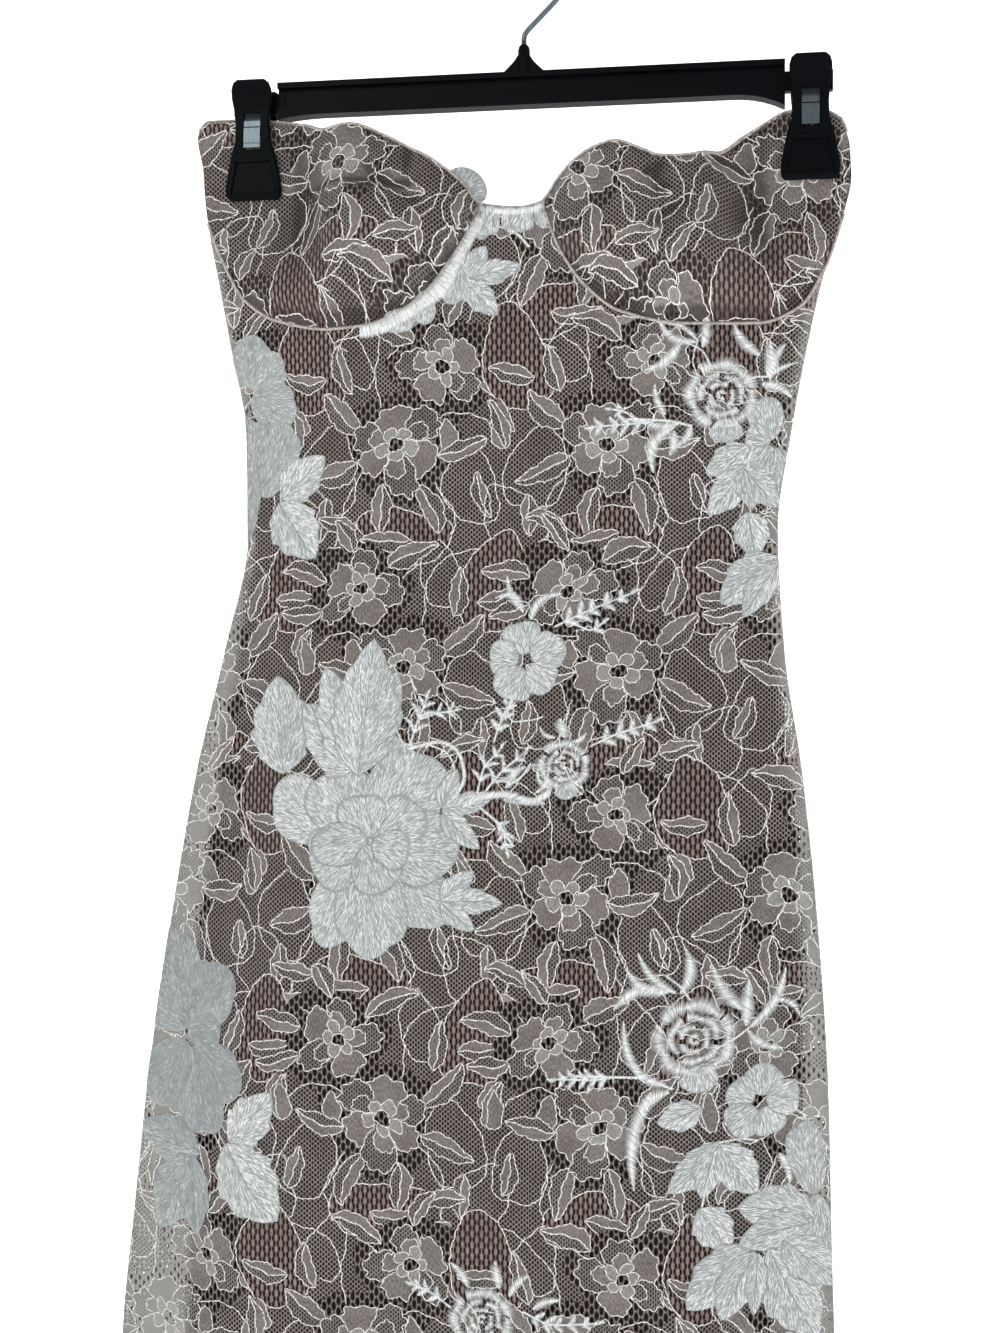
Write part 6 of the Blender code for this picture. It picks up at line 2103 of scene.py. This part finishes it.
@dataclass
class Hanger:
    """The clip hanger's finishes and its small mouldings."""

    plastic: bpy.types.Material = field(default_factory=PlasticFinish().make)
    steel: bpy.types.Material = field(default_factory=SteelFinish().make)

    def dress_nodes(self) -> None:
        """Give the bar and jaws their plastic and the springs their steel."""
        for name, node in frame["nodes"].items():
            if name.startswith(("clip_", "hanger_bar")):
                for place in node.material_slots:
                    place.material = self.steel if name.endswith("spring") else self.plastic

    def build_hook(self) -> None:
        """The wire hook, round and smooth along the solid's own route."""
        centre_z = -(HOOK_RADIUS - HOOK_WIRE)
        first = radians(HOOK_JOIN)
        join = np.array([HOOK_RADIUS * cos(first), centre_z + HOOK_RADIUS * sin(first)])
        bend_z = join[1] - (join[0] - BOSS_X)
        t = np.linspace(0, 1, 9)[1:]
        bend = np.stack([BOSS_X + HOOK_BEND * t * t, bend_z + HOOK_BEND * (2 * t - 1)], axis=-1)
        turn = np.radians(np.linspace(HOOK_JOIN, HOOK_TIP_ANGLE, 60))
        loop = np.stack([HOOK_RADIUS * np.cos(turn), centre_z + HOOK_RADIUS * np.sin(turn)], axis=-1)
        flat = np.concatenate([
            [(BOSS_X, BOSS_TOP + SEAM_GAP), (BOSS_X, bend_z - HOOK_BEND)], bend,
            [((BOSS_X + join[0]) / 2, (bend_z + join[1]) / 2)], loop])
        line = np.stack([flat[:, 0], np.zeros(len(flat)), flat[:, 1]], axis=-1)
        hook = tube("hanger_hook_wire", line, HOOK_WIRE, 24, self.steel)
        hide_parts("hanger_hook")

    def ridge(self, name: str, x: float, z: np.ndarray, across: np.ndarray, sign: int,
              radius: float, face: tuple, material: bpy.types.Material, sunk: float) -> None:
        """A low bead across one face of a clip.

        Args:
            name: the piece's name.
            x: the clip's middle.
            z: height of each point of the bead.
            across: distance of each point from the clip's middle.
            sign: -1 for the front jaw, 1 for the back one.
            radius: the bead's radius.
            face: height and distance of the face that carries it.
            material: the bead's material.
            sunk: how deep its centre line lies in that face.
        """
        rows = np.array(face)
        y = sign * (np.interp(z, rows[:, 0], rows[:, 1]) - sunk)
        bead = tube(name, np.stack([x + across, y, z], axis=-1), radius, 10, material)

    def build_clip(self, side: str, x: float) -> None:
        """Thumb ridges, window sill, pad frame and spring creases of one clip, front and back."""
        share = np.linspace(-1, 1, 15)
        for face, sign in (("front", -1), ("back", 1)):
            stem = f"clip_{side}_{face}_"
            for number, z in enumerate((-0.0818, -0.0843, -0.0868)):
                arch = z - 0.0005 * share ** 2
                self.ridge(f"{stem}grip_{number}", x, arch, 0.0062 * share, sign, 0.00042, JAW_FACE,
                           self.plastic, 0.0001)
            self.ridge(stem + "sill", x, np.full(15, -0.0950), 0.0056 * share, sign, 0.0005, JAW_FACE,
                       self.plastic, 0.0002)
            arch = -0.1229 - 0.0030 * share ** 4
            self.ridge(stem + "brow", x, arch, 0.0108 * share, sign, 0.0005, JAW_FACE, self.plastic, 0.0002)
            arch = -0.1292 - 0.0010 * share ** 4
            self.ridge(stem + "inner_brow", x, arch, 0.0086 * share, sign, 0.0004, JAW_FACE,
                       self.plastic, 0.0013)
            for edge in (-1, 1):
                side_z = np.linspace(-0.1262, -0.1440, 15)
                reach = edge * (0.0108 + (0.0142 - 0.0108) * (0.5 + share / 2))
                self.ridge(f"{stem}rim_{'left' if edge < 0 else 'right'}", x, side_z, reach, sign, 0.00045,
                           JAW_FACE, self.plastic, 0.0002)
            lip = -0.1452 + 0.0003 * share ** 4
            self.ridge(stem + "lip", x, lip, 0.0138 * share, sign, 0.0010, JAW_FACE, self.plastic, 0.0005)
            for number, z in enumerate((-0.1052, -0.1150)):
                self.ridge(f"{stem}crease_{number}", x, np.full(15, z), 0.0049 * share, sign, 0.0003,
                           SPRING_FACE, self.plastic if number == 0 else self.steel, 0.0)

    def build(self) -> None:
        """Everything of the hanger."""
        self.dress_nodes()
        self.build_hook()
        for side, x in (("left", -CLIP_X), ("right", CLIP_X)):
            self.build_clip(side, x)


# Studio

@dataclass(frozen=True)
class Studio:
    """A plain pale sweep, soft lights and the camera."""

    distance: float = 1.0
    azimuth: float = 7.7
    height: float = -0.430
    scale: float = 0.000594
    axis_right: float = 27.0
    frame: tuple[int, int] = (1000, 1333)
    floor: float = -1.30
    wall_y: float = 4.0
    sweep_front: float = -6.0
    sweep_side: float = 12.0
    sweep_height: float = 12.0
    sweep_radius: float = 0.9

    def build_sweep(self) -> None:
        """Floor and backdrop in one sweep: level, a quarter round, then upright."""
        bend = np.linspace(0, pi / 2, 24)
        radius = self.sweep_radius
        y = np.concatenate([[self.sweep_front, -1.0],
                            self.wall_y - radius + radius * np.sin(bend), [self.wall_y]])
        z = np.concatenate([[self.floor, self.floor], self.floor + radius - radius * np.cos(bend),
                            [self.floor + self.sweep_height]])
        x = np.array([-self.sweep_side, 0.0, self.sweep_side])
        grid = np.stack([np.broadcast_to(x, (len(y), 3)), np.broadcast_to(y[:, None], (len(y), 3)),
                         np.broadcast_to(z[:, None], (len(y), 3))], axis=-1)
        material, w, shader = new_material("sweep_paper", 0.95)
        grain = w.add("TexNoise", Vector=w.add("TexCoord").outputs["Object"], Scale=30.0).outputs["Fac"]
        tone = w.blend(grain, (0.95, 0.95, 0.95, 1), (0.97, 0.97, 0.97, 1))
        w.tree.links.new(tone, shader.inputs["Base Color"])
        w.tree.links.new(tone, shader.inputs["Emission Color"])
        shader.inputs["Emission Strength"].default_value = 0.8
        sweep = build("sweep", grid.reshape(-1, 3), grid_faces(len(y), 3), [material])
        sweep.parent = None

    def light(self, name: str, place: tuple, aim: tuple, size: float, power: float) -> None:
        """A soft square light at a place, aimed at a point."""
        data = bpy.data.lights.new(name, "AREA")
        data.size, data.energy = size, power
        lamp = bpy.data.objects.new(name, data)
        lamp.location = place
        away = np.array(place) - np.array(aim)
        flat = hypot(away[0], away[1])
        lamp.rotation_euler = (atan2(flat, away[2]), 0.0, atan2(away[0], -away[1]))
        bpy.context.scene.collection.objects.link(lamp)

    def build_lights(self) -> None:
        """A key from the upper left, a wide fill from the right, and the white room's own light."""
        self.light("key", (-1.1, -1.9, 0.9), (0.0, 0.0, -0.5), 1.2, 19.5)
        self.light("fill", (1.6, -1.6, -0.2), (0.0, 0.0, -0.5), 1.6, 5.5)
        world = bpy.data.worlds.new("room")
        world.use_nodes = True
        world.node_tree.nodes["Background"].inputs["Color"].default_value = (1, 1, 1, 1)
        world.node_tree.nodes["Background"].inputs["Strength"].default_value = 0.42
        bpy.context.scene.world = world

    def build_camera(self) -> None:
        """The camera, level, turned round the dress, its lens from the photo's scale."""
        data = bpy.data.cameras.new("camera")
        focal = self.distance / self.scale
        data.sensor_width = 36.0
        data.lens = focal * data.sensor_width / self.frame[1]
        data.shift_x = -self.axis_right / self.frame[1]
        camera = bpy.data.objects.new("camera", data)
        turn = radians(self.azimuth)
        camera.location = (self.distance * sin(turn), -self.distance * cos(turn), self.height)
        camera.rotation_euler = (pi / 2, 0.0, turn)
        bpy.context.scene.collection.objects.link(camera)
        bpy.context.scene.camera = camera
        bpy.context.scene.view_settings.view_transform = "Standard"

    def build(self) -> None:
        """Everything round the dress."""
        self.build_sweep()
        self.build_lights()
        self.build_camera()


def main() -> None:
    """Build the cloth, its embroidery, the hanger and the studio; each piece is reported as made."""
    logging.basicConfig(level=logging.INFO, format="%(name)s %(message)s")
    cloth = Cloth()
    front, front_cords = cloth.build_front()
    cloth.build_backs()
    cloth.build_cups()
    cloth.build_linings()
    edges = cloth.build_edges()
    satin = SatinFinish("embroidery_satin", linear(132, 140, 140), linear(254, 255, 255)).make()
    sewn = [plan.make(satin, number + 1) for number, plan in enumerate(PLANS)] + build_bust(satin)
    Hanger().build()
    x, z = cloth.tube_grid(TUBE.wire, HEM, 60, 81)
    cloth.declare(front, TUBE.front(x, z))
    Studio().build()


if __name__ == "__main__":
    main()
